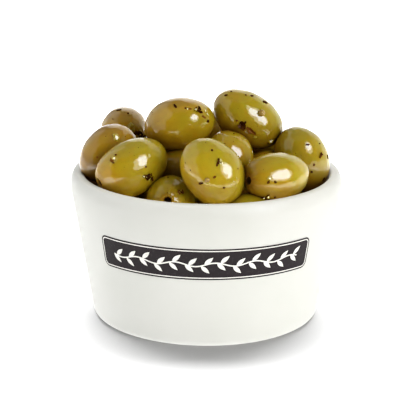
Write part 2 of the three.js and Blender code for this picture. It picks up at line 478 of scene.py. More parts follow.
@dataclass(frozen=True)
class DriedHerb:
    """Oiled scraps of dried herb and crumbs of pepper, straw brown to nearly black."""

    dark: Colour = (0.050, 0.014, 0.001)
    light: Colour = (0.280, 0.120, 0.020)
    grain_size: float = 0.6
    grain_depth: float = 0.10
    grain_tone: float = 0.25

    def material(self) -> bpy.types.Material:
        """Makes the herb.

        Returns:
            Its material, which reads the tone from the mesh.
        """
        herb = Shader("oiled_dried_herb")
        grain = herb.noise(self.grain_size, detail=3.0)
        shift = herb.spread(grain, 0.3, 0.7, -self.grain_tone, self.grain_tone)
        tone = herb.sum(herb.painted("tone"), shift)
        herb.join(herb.mix(herb.spread(tone, 0.0, 1.0), self.dark, self.light), "Base Color")
        herb.join(herb.bump(grain, self.grain_depth), "Normal")
        herb.set(Roughness=0.7, Specular_IOR_Level=0.0, Coat_Weight=0.08, Coat_Roughness=0.08, IOR=1.45)
        return herb.material


@dataclass(frozen=True)
class SeedHusk:
    """Smooth oiled husk of a small round seed."""

    tan: Colour = (0.50, 0.34, 0.080)
    dark: Colour = (0.26, 0.150, 0.025)
    grain_size: float = 0.8
    grain_depth: float = 0.04

    def material(self) -> bpy.types.Material:
        """Makes the husk.

        Returns:
            Its material.
        """
        husk = Shader("seed_husk")
        grain = husk.noise(self.grain_size)
        husk.join(husk.mix(husk.spread(grain, 0.4, 0.7), self.tan, self.dark), "Base Color")
        husk.join(husk.bump(grain, self.grain_depth), "Normal")
        husk.set(Roughness=0.4, Specular_IOR_Level=0.3, Coat_Weight=0.9, Coat_Roughness=0.06, IOR=1.45)
        return husk.material


@dataclass(frozen=True)
class OilBead:
    """Bead of oil that takes the colour of the skin under it."""

    gold: Colour = (0.42, 0.32, 0.020)
    pale: Colour = (0.52, 0.43, 0.060)
    swirl_size: float = 1.5

    def material(self) -> bpy.types.Material:
        """Makes the bead.

        Returns:
            Its material.
        """
        bead = Shader("oil_bead")
        swirl = bead.noise(self.swirl_size, detail=1.0)
        bead.join(bead.mix(bead.spread(swirl, 0.4, 0.6), self.gold, self.pale), "Base Color")
        bead.set(Roughness=0.2, Specular_IOR_Level=0.2, Coat_Weight=1.0, Coat_Roughness=0.02,
                 Coat_IOR=1.6, IOR=1.45)
        return bead.material


@dataclass(frozen=True)
class FiredPrint:
    """Thin ink fired onto the glaze, worn to another tone in specks."""

    name: str
    ink: Colour
    worn: Colour
    speck_size: float = 0.9
    speck_depth: float = 0.01

    def material(self) -> bpy.types.Material:
        """Makes the ink.

        Returns:
            Its material.
        """
        ink = Shader(self.name)
        specks = ink.noise(self.speck_size, detail=3.0)
        ink.join(ink.mix(ink.spread(specks, 0.55, 0.8), self.ink, self.worn), "Base Color")
        ink.join(ink.bump(specks, self.speck_depth), "Normal")
        ink.set(Roughness=0.5, Specular_IOR_Level=0.2, IOR=1.45)
        return ink.material


# ---- the bowl --------------------------------------------------------------------


@dataclass
class Bowl:
    """Round bowl with a sloping wall, a soft lip and a shallow foot.

    The painted shade inside starts at the first of its two heights and is full at the second,
    and its two places along Y are the same from the front of the bowl backwards.
    Each wave is a share of the waviness, its lobes round the bowl and its turn.
    """

    height: float = 54.3
    foot_radius: float = 41.7
    wall_radius: float = 50.0
    wall_height: float = 48.0
    foot_rounding: float = 3.0
    lip_width: float = 2.05
    lip_rise: float = 4.4
    lip_inner_rounding: float = 1.0
    lip_dip: float = 0.35
    mouth_radius: float = 45.4
    floor_radius: float = 37.6
    floor_height: float = 5.0
    floor_rounding: float = 7.0
    foot_ring_radius: float = 36.4
    foot_recess: float = 1.0
    foot_recess_slope: float = 1.2
    foot_ring_edge: tuple[float, float] = (0.3, 0.08)
    segments: int = 192
    wall_steps: int = 12
    inside_steps: int = 8
    waviness: float = 0.05
    waves: tuple[tuple[float, int, float], ...] = ((0.6, 3, 0.7), (0.4, 5, 2.1))
    stain_heights: tuple[float, float] = (53.4, 51.4)
    stain_front: tuple[float, float] = (-40.0, -30.0)

    def wall_radius_at(self, height: float) -> float:
        """Radius of the outside of the wall at a height in millimetres."""
        return between(self.foot_radius, self.wall_radius, height / self.wall_height)

    def room_across(self, points: np.ndarray) -> tuple[np.ndarray, np.ndarray]:
        """Level distance from points outwards to the inside of the wall.

        Args:
            points: Places in millimetres.

        Returns:
            The distances, and the heights that they are taken at.
        """
        x, y, z = points.T
        height = np.clip(z, self.floor_height, self.height)
        share = (height - self.floor_height) / (self.height - self.floor_height)
        return between(self.floor_radius, self.mouth_radius, share) - np.hypot(x, y), height

    def gap_to(self, points: np.ndarray) -> np.ndarray:
        """Distance in millimetres from each point inside the bowl or above it to the wall or the lip."""
        across, height = self.room_across(points)
        return np.hypot(np.maximum(across, 0.0), points[:, 2] - height)

    def stain(self, points: np.ndarray) -> np.ndarray:
        """How much painted shade browns the bowl: only inside, below the lip, and least in front.

        Args:
            points: The bowl's vertices in millimetres.

        Returns:
            The share of painted shade at each vertex.
        """
        across, _ = self.room_across(points)
        inside = (across > -1.0) & (points[:, 2] > self.floor_height - 1.0)
        depth = np.interp(-points[:, 2], [-h for h in self.stain_heights], [0.0, 1.0])
        return inside * depth * np.interp(points[:, 1], self.stain_front, [0.0, 1.0])

    def profile(self) -> list[Spot]:
        """Section of the bowl.

        Returns:
            Points (radius, height), from the middle of its underside to the middle of its floor.
        """
        slope = (self.wall_radius - self.foot_radius) / self.wall_height
        corner = self.foot_radius + slope * self.foot_rounding - self.foot_rounding
        wall = [
            (self.wall_radius_at(h), h)
            for h in np.linspace(self.foot_rounding + 1.0, self.wall_height - 1.0, self.wall_steps)
        ]
        shoulder = (self.wall_radius - self.lip_width, self.height - self.lip_rise)
        inner = (self.mouth_radius + self.lip_inner_rounding, self.height - self.lip_inner_rounding)
        inside_slope = (self.mouth_radius - self.floor_radius) / (inner[1] - self.floor_height)
        bottom = self.floor_height + self.floor_rounding
        floor_corner = self.floor_radius + inside_slope * self.floor_rounding - self.floor_rounding
        inside = [
            (between(self.mouth_radius, self.floor_radius, s), between(inner[1], self.floor_height, s))
            for s in np.linspace(0.04, 0.8, self.inside_steps)
        ]
        ring, recess_edge = self.foot_ring_radius, self.foot_ring_radius - self.foot_recess_slope
        return [
            (0.0, self.foot_recess),
            (recess_edge - 4.0, self.foot_recess),
            (recess_edge, self.foot_recess),
            (ring - self.foot_ring_edge[0], self.foot_ring_edge[1]),
            (ring, 0.0),
            *arc((corner, self.foot_rounding), self.foot_rounding, self.foot_rounding, -90, -4, 8),
            *wall,
            *arc(shoulder, self.lip_width, self.lip_rise, -8, 90, 16),
            *arc(inner, self.lip_inner_rounding, self.lip_inner_rounding, 90, 178, 8),
            *inside,
            *arc((floor_corner, bottom), self.floor_rounding, self.floor_rounding, -8, -90, 8),
            (0.0, self.floor_height),
        ]

    def build(self) -> bpy.types.Object:
        """Turns the bowl, with the slight waviness of a cast one, and puts it in the CAD bowl's place.

        Returns:
            The bowl.
        """
        points, faces = turned(self.profile(), self.segments)
        angle = np.arctan2(points[:, 1], points[:, 0])
        wave = sum(share * np.sin(lobes * angle + turn) for share, lobes, turn in self.waves)
        points[:, :2] *= (1 + self.waviness * (wave - 1) / self.wall_radius)[:, None]
        front = np.clip(-points[:, 1] / self.wall_radius, 0.0, 1.0)
        points[:, 2] *= 1 - self.lip_dip / self.height * front
        gatherer = MeshGatherer()
        # Painted shade on the inside of the wall, below the lip, least in front.
        gatherer.add(points, faces, stain=self.stain(points))
        piece = gatherer.to_object("glazed_bowl", SatinGlaze().material())
        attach(piece, BODY)
        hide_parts("bowl")
        return piece


# ---- the olives ------------------------------------------------------------------


class Tone(Enum):
    """How far an olive has turned from green towards brown."""

    GREEN = 0.20
    YELLOW = 0.36
    OLIVE = 0.46
    TAN = 0.62
    BROWN = 0.74
    DARK = 0.95


@dataclass(frozen=True)
class Flat:
    """Spot on an olive where the skin is smoother and flatter and faces the window.

    It is given in millimetres to the right of the olive's middle and above it,
    as seen from the front. Pressed is how much lower the skin lies there, over a
    reach along the olive and one round it, and the skin leans to the window over the
    tilt reach. Calm is how much of the dents the spot takes away.
    """

    across: float
    up: float
    pressed: float = 0.0
    reach: float = 3.8
    reach_round: float = 3.8
    calm: float = 0.5
    tilt_reach: float = 6.0


@dataclass(frozen=True)
class Olive:
    """One pitted olive: where it lies, its size, and which way its stem end points.

    Round the hole, pucker is how deep the skin is drawn into folds, stem_dimple how
    deep it sinks and stem_shade how brown it is, partly as painted shade. Shading is
    the share that shows of the painted shade from what is near, dusk is more painted
    shade all over, low_shade more towards the underside, and the last is painted shade
    on top, as more brown.
    """

    x: float
    y: float
    z: float
    length: float
    width: float
    heading: float
    lift: float
    tone: Tone = Tone.OLIVE
    flat: Flat | None = None
    hole_radius: float = 2.1
    pucker: float = 0.10
    stem_shade: float = 0.0
    stem_dimple: float = 0.0
    shading: float = 1.0
    dusk: float = 0.0
    low_shade: float = 0.0
    top_shade: float = 0.0

    fullness: ClassVar[float] = 0.04
    hole_lip: ClassVar[float] = 0.9
    hole_lip_rise: ClassVar[float] = 0.25
    hole_lip_steps: ClassVar[int] = 5
    hole_depth: ClassVar[float] = 4.0
    hole_taper: ClassVar[tuple[float, float]] = (0.9, 0.7)
    hole_point: ClassVar[float] = 0.5
    # Each swell: its share of the width, its lobes round the axis, and its twist along it.
    swells: ClassVar[tuple[tuple[float, int, float], ...]] = (
        (0.014, 2, 0.0), (0.010, 3, 1.6), (0.010, 1, 3.0), (0.006, 5, -2.5))
    curve: ClassVar[float] = 0.05
    dent_sizes: ClassVar[tuple[float, float]] = (6.5, 2.8)
    dent_depths: ClassVar[tuple[float, float]] = (0.22, 0.13)
    dent_stride: ClassVar[float] = 7.3
    pucker_folds: ClassVar[tuple[int, int]] = (9, 4)
    pucker_reach: ClassVar[float] = 3.2
    stem_reach: ClassVar[float] = 2.8
    dimple_reach: ClassVar[float] = 2.4
    # Painted light and shade: skin that faces the first way is greener, skin that faces away is browner, by
    # the second number.
    lit_side: ClassVar[tuple[float, float, float]] = (0.60, -0.40, 0.70)
    lit_side_tone: ClassVar[float] = 0.36
    tone_range: ClassVar[float] = 0.10
    # Painted shade on top, as more brown: from the first to the second height above the middle, as shares of
    # half the width.
    top_shade_onset: ClassVar[tuple[float, float]] = (0.5, 0.9)
    # Each kind of shade: how strong it is where things touch, and its reach in millimetres.
    near_crevice: ClassVar[tuple[float, float]] = (0.55, 0.9)
    far_crevice: ClassVar[tuple[float, float]] = (0.44, 3.0)
    wall_crevice: ClassVar[tuple[float, float]] = (0.90, 1.8)
    least_wall_share: ClassVar[float] = 0.4
    far_away: ClassVar[float] = 50.0

    @property
    def centre(self) -> Vector:
        """Middle of the olive, in millimetres."""
        return Vector((self.x, self.y, self.z))

    @property
    def axis(self) -> Vector:
        """Direction of the stem end."""
        return direction(self.heading, self.lift)

    def profile(self, rings: int) -> tuple[list[Spot], list[float]]:
        """Section of the olive along its own axis, with the bore that the pit left.

        Args:
            rings: Number of rings on the skin.

        Returns:
            Points (radius, height along the axis), and how much each shows the flesh.
        """
        half_width, half_length = self.width / 2, self.length / 2
        edge = self.hole_radius + self.hole_lip
        last = math.pi - math.asin(edge / half_width)
        points, flesh = [], []
        for i in range(rings + 1):
            t = last * i / rings
            full = 1 - self.fullness * math.cos(t) * math.sin(t)
            points.append((half_width * math.sin(t) * full, -half_length * math.cos(t)))
            flesh.append(0.0)
        mouth = points[-1][1]
        for i in range(1, self.hole_lip_steps + 1):
            a = math.radians(90 * i / self.hole_lip_steps)
            drop = self.hole_lip * (1 - math.cos(a))
            points.append((edge - self.hole_lip * math.sin(a), mouth + self.hole_lip_rise - drop))
            flesh.append(i / self.hole_lip_steps)
        bottom = mouth - self.hole_depth
        halfway, deep = (self.hole_radius * taper for taper in self.hole_taper)
        points += [(halfway, between(mouth, bottom, 0.5)), (deep, bottom), (0.0, bottom - self.hole_point)]
        flesh += [1.0, 1.0, 1.0]
        return points, flesh

    def dents(self, points: np.ndarray, angle: np.ndarray, stem: np.ndarray, phases: list[float],
              seed: int) -> np.ndarray:
        """How far the folds round the hole and the dents move the skin.

        Args:
            points: Vertices in millimetres, with the olive's axis along Z.
            angle: Where each vertex lies round the axis.
            stem: Distance of each vertex from the edge of the hole.
            phases: Angles that the folds are turned by.
            seed: Number that the dents are moved by.

        Returns:
            The height of each vertex above the even skin.
        """
        folds = (np.sin(self.pucker_folds[0] * angle + phases[1])
                 * np.sin(self.pucker_folds[1] * angle + phases[2]))
        height = self.pucker * np.exp(-stem / self.pucker_reach) * folds
        height -= self.stem_dimple * np.exp(-stem / self.dimple_reach)
        for size, depth in zip(self.dent_sizes, self.dent_depths):
            spots = points / size + seed * self.dent_stride
            height += depth * np.array([noise.noise(spot) for spot in spots.tolist()])
        return height

    def surface(self, seed: int, segments: int,
                rings: int) -> tuple[np.ndarray, list[Face], dict[str, np.ndarray]]:
        """Mesh of the olive in its place, uneven as a real one is.

        Args:
            seed: Number that its unevenness is drawn from.
            segments: Sides round its axis.
            rings: Rings along its skin.

        Returns:
            Vertices in millimetres, faces, and how much each vertex shows the flesh and the brown stem end.
        """
        profile, shown = self.profile(rings)
        points, faces = turned(profile, segments)
        flesh = np.array([shown[0], *np.repeat(shown[1:-1], segments), shown[-1]])
        skin = np.where(flesh > 0, 0.0, 1.0)
        angle = np.arctan2(points[:, 1], points[:, 0])
        along = points[:, 2] / (self.length / 2)
        phases = [2 * math.pi * draw(seed, k) for k in range(len(self.swells))]
        swell = sum(share * np.sin(lobes * angle + phase + twist * along)
                    for (share, lobes, twist), phase in zip(self.swells, phases))
        points[:, :2] *= (1 + skin * swell)[:, None]
        from_hole = np.hypot(points[:, 0], points[:, 1]) - self.hole_radius - self.hole_lip
        stem = np.where(points[:, 2] > 0, from_hole, self.far_away)
        dents = skin * self.dents(points, angle, stem, phases, seed)
        bend = (draw(seed, 5) - 0.5) * self.curve * self.length
        points[:, 0] += skin * bend * (along**2 - 0.4)
        spin = Matrix.Rotation(2 * math.pi * draw(seed, 6), 3, "Z")
        pose = self.axis.to_track_quat("Z", "Y").to_matrix() @ spin
        points = points @ np.array(pose.transposed())
        ways = points / np.linalg.norm(points, axis=1)[:, None]
        if self.flat is None:
            points += ways * dents[:, None]
        else:
            near, rise = self.flattened(points)
            points += ways * (dents * (1 - self.flat.calm * near))[:, None] + skin[:, None] * rise
        # Brown round the stem end, partly painted shade.
        brown = self.stem_shade * np.exp(-np.maximum(stem, 0.0) / self.stem_reach)
        return points + np.array(self.centre), faces, {"flesh": flesh, "stem": brown}

    def half_axes(self) -> np.ndarray:
        """Measures the olive as a plain ellipsoid.

        Returns:
            The matrix that turns a place from the olive's middle into one on a unit ball.
        """
        axis = np.array(self.axis)
        along = np.outer(axis, axis)
        return (np.eye(3) - along) / (self.width / 2) + along / (self.length / 2)

    def flattened(self, points: np.ndarray) -> tuple[np.ndarray, np.ndarray]:
        """How the flat spot moves the skin.

        Args:
            points: Vertices in millimetres from the olive's middle.

        Returns:
            How near each vertex is to the spot, from 0 to 1, and how far it moves.
        """
        towards, upwards = (np.array(way) for way in front_ways())
        start = np.array((self.flat.across, 0.0, 0.0)) + upwards * self.flat.up
        shrink = self.half_axes()
        ball, step = start @ shrink, towards @ shrink
        half = ball @ step / (step @ step)
        spot = start + towards * (math.sqrt(half**2 - (ball @ ball - 1) / (step @ step)) - half)
        normal = spot @ shrink @ shrink
        normal /= np.linalg.norm(normal)
        window = np.array(glint_way(self.centre + Vector(spot)))
        slope = normal - window / (window @ normal)
        offset = points - spot
        along = (offset @ np.array(self.axis)) ** 2
        around = (offset**2).sum(axis=1) - along
        near = np.exp(-along / (2 * self.flat.reach**2) - around / (2 * self.flat.reach_round**2))
        far = np.exp(-(along + around) / (2 * self.flat.tilt_reach**2))
        rise = far * (offset @ slope) - near * self.flat.pressed
        return near, rise[:, None] * normal

    def gap_to(self, points: np.ndarray) -> np.ndarray:
        """Distance from points to this olive's skin.

        Args:
            points: Places in millimetres.

        Returns:
            The distances, less than 0 inside the olive.
        """
        shrink = self.half_axes()
        ball = (points - np.array(self.centre)) @ shrink
        reach = np.linalg.norm(ball, axis=1)
        return reach * (reach - 1) / np.linalg.norm(ball @ shrink, axis=1)

    def crevice(self, points: np.ndarray, others: Sequence["Olive"], wall: np.ndarray) -> np.ndarray:
        """Painted shade at each vertex, from 0 in the open to 1 where olives touch.

        Args:
            points: The olive's vertices in millimetres.
            others: The olives round it.
            wall: Distance from each vertex to the bowl.

        Returns:
            The share of painted shade, a dark brown, at each vertex.
        """
        gap = np.full(len(points), self.far_away)
        for other in others:
            gap = np.minimum(gap, other.gap_to(points))
        gap = np.maximum(gap, 0.0)
        near, far, rim = self.near_crevice, self.far_crevice, self.wall_crevice
        share = self.shading * (near[0] * np.exp(-gap / near[1]) + far[0] * np.exp(-gap / far[1]))
        depth = np.clip((self.z - points[:, 2]) / (self.width / 2), 0.0, 1.0)
        share += (self.dusk + self.low_shade * depth) * (1 - share)
        from_wall = rim[0] * np.exp(-np.maximum(wall, 0.0) / rim[1])
        from_wall *= between(self.least_wall_share, 1.0, self.shading)
        return np.clip(np.maximum(share, from_wall), 0.0, 1.0)

    def tones(self, points: np.ndarray, seed: int) -> np.ndarray:
        """How brown the skin is, with painted light and shade: greener facing the light, browner away from
        it and on top.

        Args:
            points: The olive's vertices in millimetres.
            seed: Number that the olive's own tone is drawn from.

        Returns:
            The share of brown at each vertex.
        """
        # Painted light and shade: greener where the skin faces the lit side, browner where it faces away.
        ways = (points - np.array(self.centre)) / (self.width / 2)
        facing = ways @ np.array(Vector(self.lit_side).normalized())
        # Painted shade on top, as more brown.
        start, full = self.top_shade_onset
        top = self.top_shade * np.clip((ways[:, 2] - start) / (full - start), 0.0, 1.0)
        own = self.tone.value + self.tone_range * (draw(seed, 8) - 0.5)
        return own - self.lit_side_tone * np.clip(facing, -1.2, 1.2) + top


@dataclass
class OliveHeap:
    """The whole heap of olives: those that show and the layer under them.

    Each deep row is a ring of olives: their number, the ring's radius and its height.
    """

    bowl: Bowl
    segments: int = 56
    rings: int = 44
    deep_segments: int = 28
    deep_rings: int = 18
    olives: dict[str, Olive] = field(default_factory=lambda: {
        "top_left": Olive(-10, -2, 71.5, 26, 19.5, 173, -14, Tone.OLIVE, Flat(5.9, 1.8, -0.2),
                          shading=0.6, low_shade=0.3, top_shade=0.5),
        "top_right": Olive(15, 4, 72.5, 28, 19.5, 2, -33, Tone.GREEN, Flat(3.0, 1.0, 0.4),
                           shading=0.8, dusk=0.04, low_shade=0.32, top_shade=0.2),
        "back_left": Olive(-31.4, 20, 63.2, 23, 17.7, 85, 14, Tone.BROWN, Flat(3.2, 1.5, 0.0, 3.0, 3.0),
                           top_shade=0.4),
        "left": Olive(-36, -3.7, 60.6, 24, 18.8, 35, 38, Tone.DARK, low_shade=0.4, top_shade=0.2),
        "front_left": Olive(-26.5, -19, 59.5, 27.5, 19.5, -151, -19, Tone.YELLOW, Flat(5.4, 2.5, 0.15),
                            1.5, 0.10, 0.5, shading=0.2),
        "front": Olive(2, -30, 61, 26, 21, 4, -52, Tone.YELLOW, Flat(5.2, 0.9, 0.2),
                       shading=0.8, low_shade=0.15),
        "middle": Olive(8.5, -8.5, 62.5, 21, 16, 116, 7, Tone.OLIVE, Flat(2.5, 0.2, 1.3),
                        shading=0.5, low_shade=0.15),
        "front_right": Olive(24.6, -25.3, 58, 26.2, 18, -142, 4, Tone.YELLOW, Flat(3.2, 1.3, 0.22, 4.6, 2.6),
                             1.2, 0.16, 0.8, low_shade=0.25),
        "right": Olive(34.8, -1.5, 58.5, 25, 19.5, -6, -64, Tone.YELLOW,
                       Flat(1.5, 4.4, -1.2, 5.0, 8.0, 0.8, 7.0), dusk=0.16, low_shade=0.7),
        "low_front": Olive(-12.7, -22, 48.1, 24, 18, -94, 16, Tone.YELLOW, None,
                           1.3, 0.12, 0.62, shading=0.0),
        "low_right": Olive(14.5, -31.5, 45, 23, 17, -7, 6, Tone.GREEN),
        "gap_left": Olive(-10, -6, 54.5, 22, 17, 10, 15, Tone.TAN, dusk=0.15),
        "gap_right": Olive(22.5, -1.5, 54.5, 19, 14, -8, 5, Tone.TAN),
        "back": Olive(0, 20.5, 62.5, 23.5, 18, 40, 8, Tone.TAN),
        "back_right": Olive(19.5, 18.5, 60, 22, 17, 10, -5, Tone.OLIVE),
        "behind_left": Olive(-17, 10.5, 56.5, 22, 17.5, 60, 5, Tone.GREEN),
        "wall_back_right": Olive(32, 14.5, 48.5, 23, 17.5, 115, 8, Tone.TAN),
        "wall_back": Olive(15.5, 31.5, 49.5, 23, 17.5, 155, -6, Tone.GREEN),
        "wall_back_middle": Olive(-7.5, 33.5, 52.5, 23, 17.5, 190, 8, Tone.OLIVE),
        "wall_back_left": Olive(-26, 22.5, 48.5, 23, 17.5, 225, -5, Tone.YELLOW),
        "wall_left": Olive(-33.5, 5.5, 41, 23, 17.5, 85, 6, Tone.OLIVE),
        "wall_front_left": Olive(-27, -19.5, 38.5, 23, 17.5, 130, -6, Tone.TAN),
        "wall_right": Olive(32.5, -7, 38, 23, 17.5, 75, 6, Tone.OLIVE),
        "middle_right": Olive(20, -12, 46, 22, 17, 100, 0, Tone.TAN),
    })
    deep_rows: tuple[tuple[int, float, float], ...] = ((9, 32.0, 33.0), (5, 16.5, 40.0), (1, 0.0, 43.0))
    deep_size: tuple[float, float] = (22.0, 17.0)
    deep_lift: float = 12.0
    row_turn: float = 17.0
    hole_shade: float = 0.6

    def deep_layer(self) -> list[Olive]:
        """Lays out the olives that lie under the others and show only between them.

        Returns:
            The olives.
        """
        layer = []
        for count, radius, height in self.deep_rows:
            for i in range(count):
                angle = 360 * i / count + self.row_turn * count
                spot = direction(angle, 0) * radius
                lift = between(-self.deep_lift, self.deep_lift, draw(i, count))
                layer.append(Olive(spot.x, spot.y, height, *self.deep_size, angle + 90, lift, Tone.TAN))
        return layer

    def build(self) -> bpy.types.Object:
        """Makes every olive, joined, in the CAD heap's place.

        Returns:
            The heap.
        """
        gatherer = MeshGatherer()
        rows = [(olive, self.segments, self.rings) for olive in self.olives.values()]
        rows += [(olive, self.deep_segments, self.deep_rings) for olive in self.deep_layer()]
        for seed, (olive, segments, rings) in enumerate(rows):
            points, faces, shown = olive.surface(seed, segments, rings)
            others = [row[0] for row in rows if row[0] is not olive]
            # Painted shade where olives meet and by the wall, and a fixed share of it all through each bore.
            crevice = olive.crevice(points, others, self.bowl.gap_to(points))
            crevice = np.where(shown["flesh"] >= 1.0, self.hole_shade, crevice)
            gatherer.add(points, faces, tone=olive.tones(points, seed), crevice=crevice, **shown)
        piece = gatherer.to_object("olive_heap", OliveSkin().material())
        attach(piece, BODY)
        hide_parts("olives")
        return piece


@dataclass
class HeapCore:
    """The mass of olives and oil under the ones that are made one by one, painted dark as shade."""

    bowl: Bowl
    clearance: float = 0.4
    edge_height: float = 33.0
    crown: float = 6.0
    segments: int = 96
    rings: int = 14
    lump: float = 1.0

    def build(self) -> bpy.types.Object:
        """Turns the core, with a lumpy top.

        Returns:
            The core.
        """
        bowl = self.bowl
        slope = (bowl.mouth_radius - bowl.floor_radius) / (bowl.height - bowl.floor_height)
        edge = bowl.floor_radius + slope * (self.edge_height - bowl.floor_height) - self.clearance
        rounding = bowl.floor_rounding
        corner = (bowl.floor_radius + slope * rounding - rounding, bowl.floor_height + rounding)
        top = [(edge * (1 - s), self.edge_height + self.crown * math.sin(s * math.pi / 2))
               for s in np.linspace(0.02, 0.95, self.rings)]
        profile = [
            (0.0, bowl.floor_height + self.clearance),
            *arc(corner, rounding - self.clearance, rounding - self.clearance, -90, -8, 6),
            (edge, self.edge_height - 1.0),
            *top,
            (0.0, self.edge_height + self.crown),
        ]
        points, faces = turned(profile, self.segments)
        x, y, z = points.T
        # Waves from 5 to 17 millimetres long that cross each other.
        lumps = np.sin(0.42 * x + 1.3) * np.sin(0.37 * y - 0.4) + 0.5 * np.sin(0.9 * x - 0.8 * y)
        points[:, 2] += np.where(z > self.edge_height - 0.5, self.lump * lumps, 0.0)
        gatherer = MeshGatherer()
        gatherer.add(points, faces)
        piece = gatherer.to_object("heap_core", OilyShade().material())
        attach(piece, BODY)
        return piece


# ---- the herbs -------------------------------------------------------------------


class Kind(Enum):
    """Kinds of small things that cling to the oiled olives."""

    FLAKE = "ragged flake of leaf"
    LEAF = "leaf folded along its rib"
    CRUMB = "angular crumb"
    CLUMP = "wet clump of crumbs and flakes"
    SEED = "small round seed"
    BEAD = "bead of oil"
    POOL = "flat pool of oil that leans to the window"


@dataclass(frozen=True)
class Bit:
    """One small thing: the olive that it lies on, where on that olive's front, its size and its tone."""

    olive: str
    across: float
    up: float
    kind: Kind
    length: float
    width: float
    turn: float = 0.0
    tone: float = 0.2


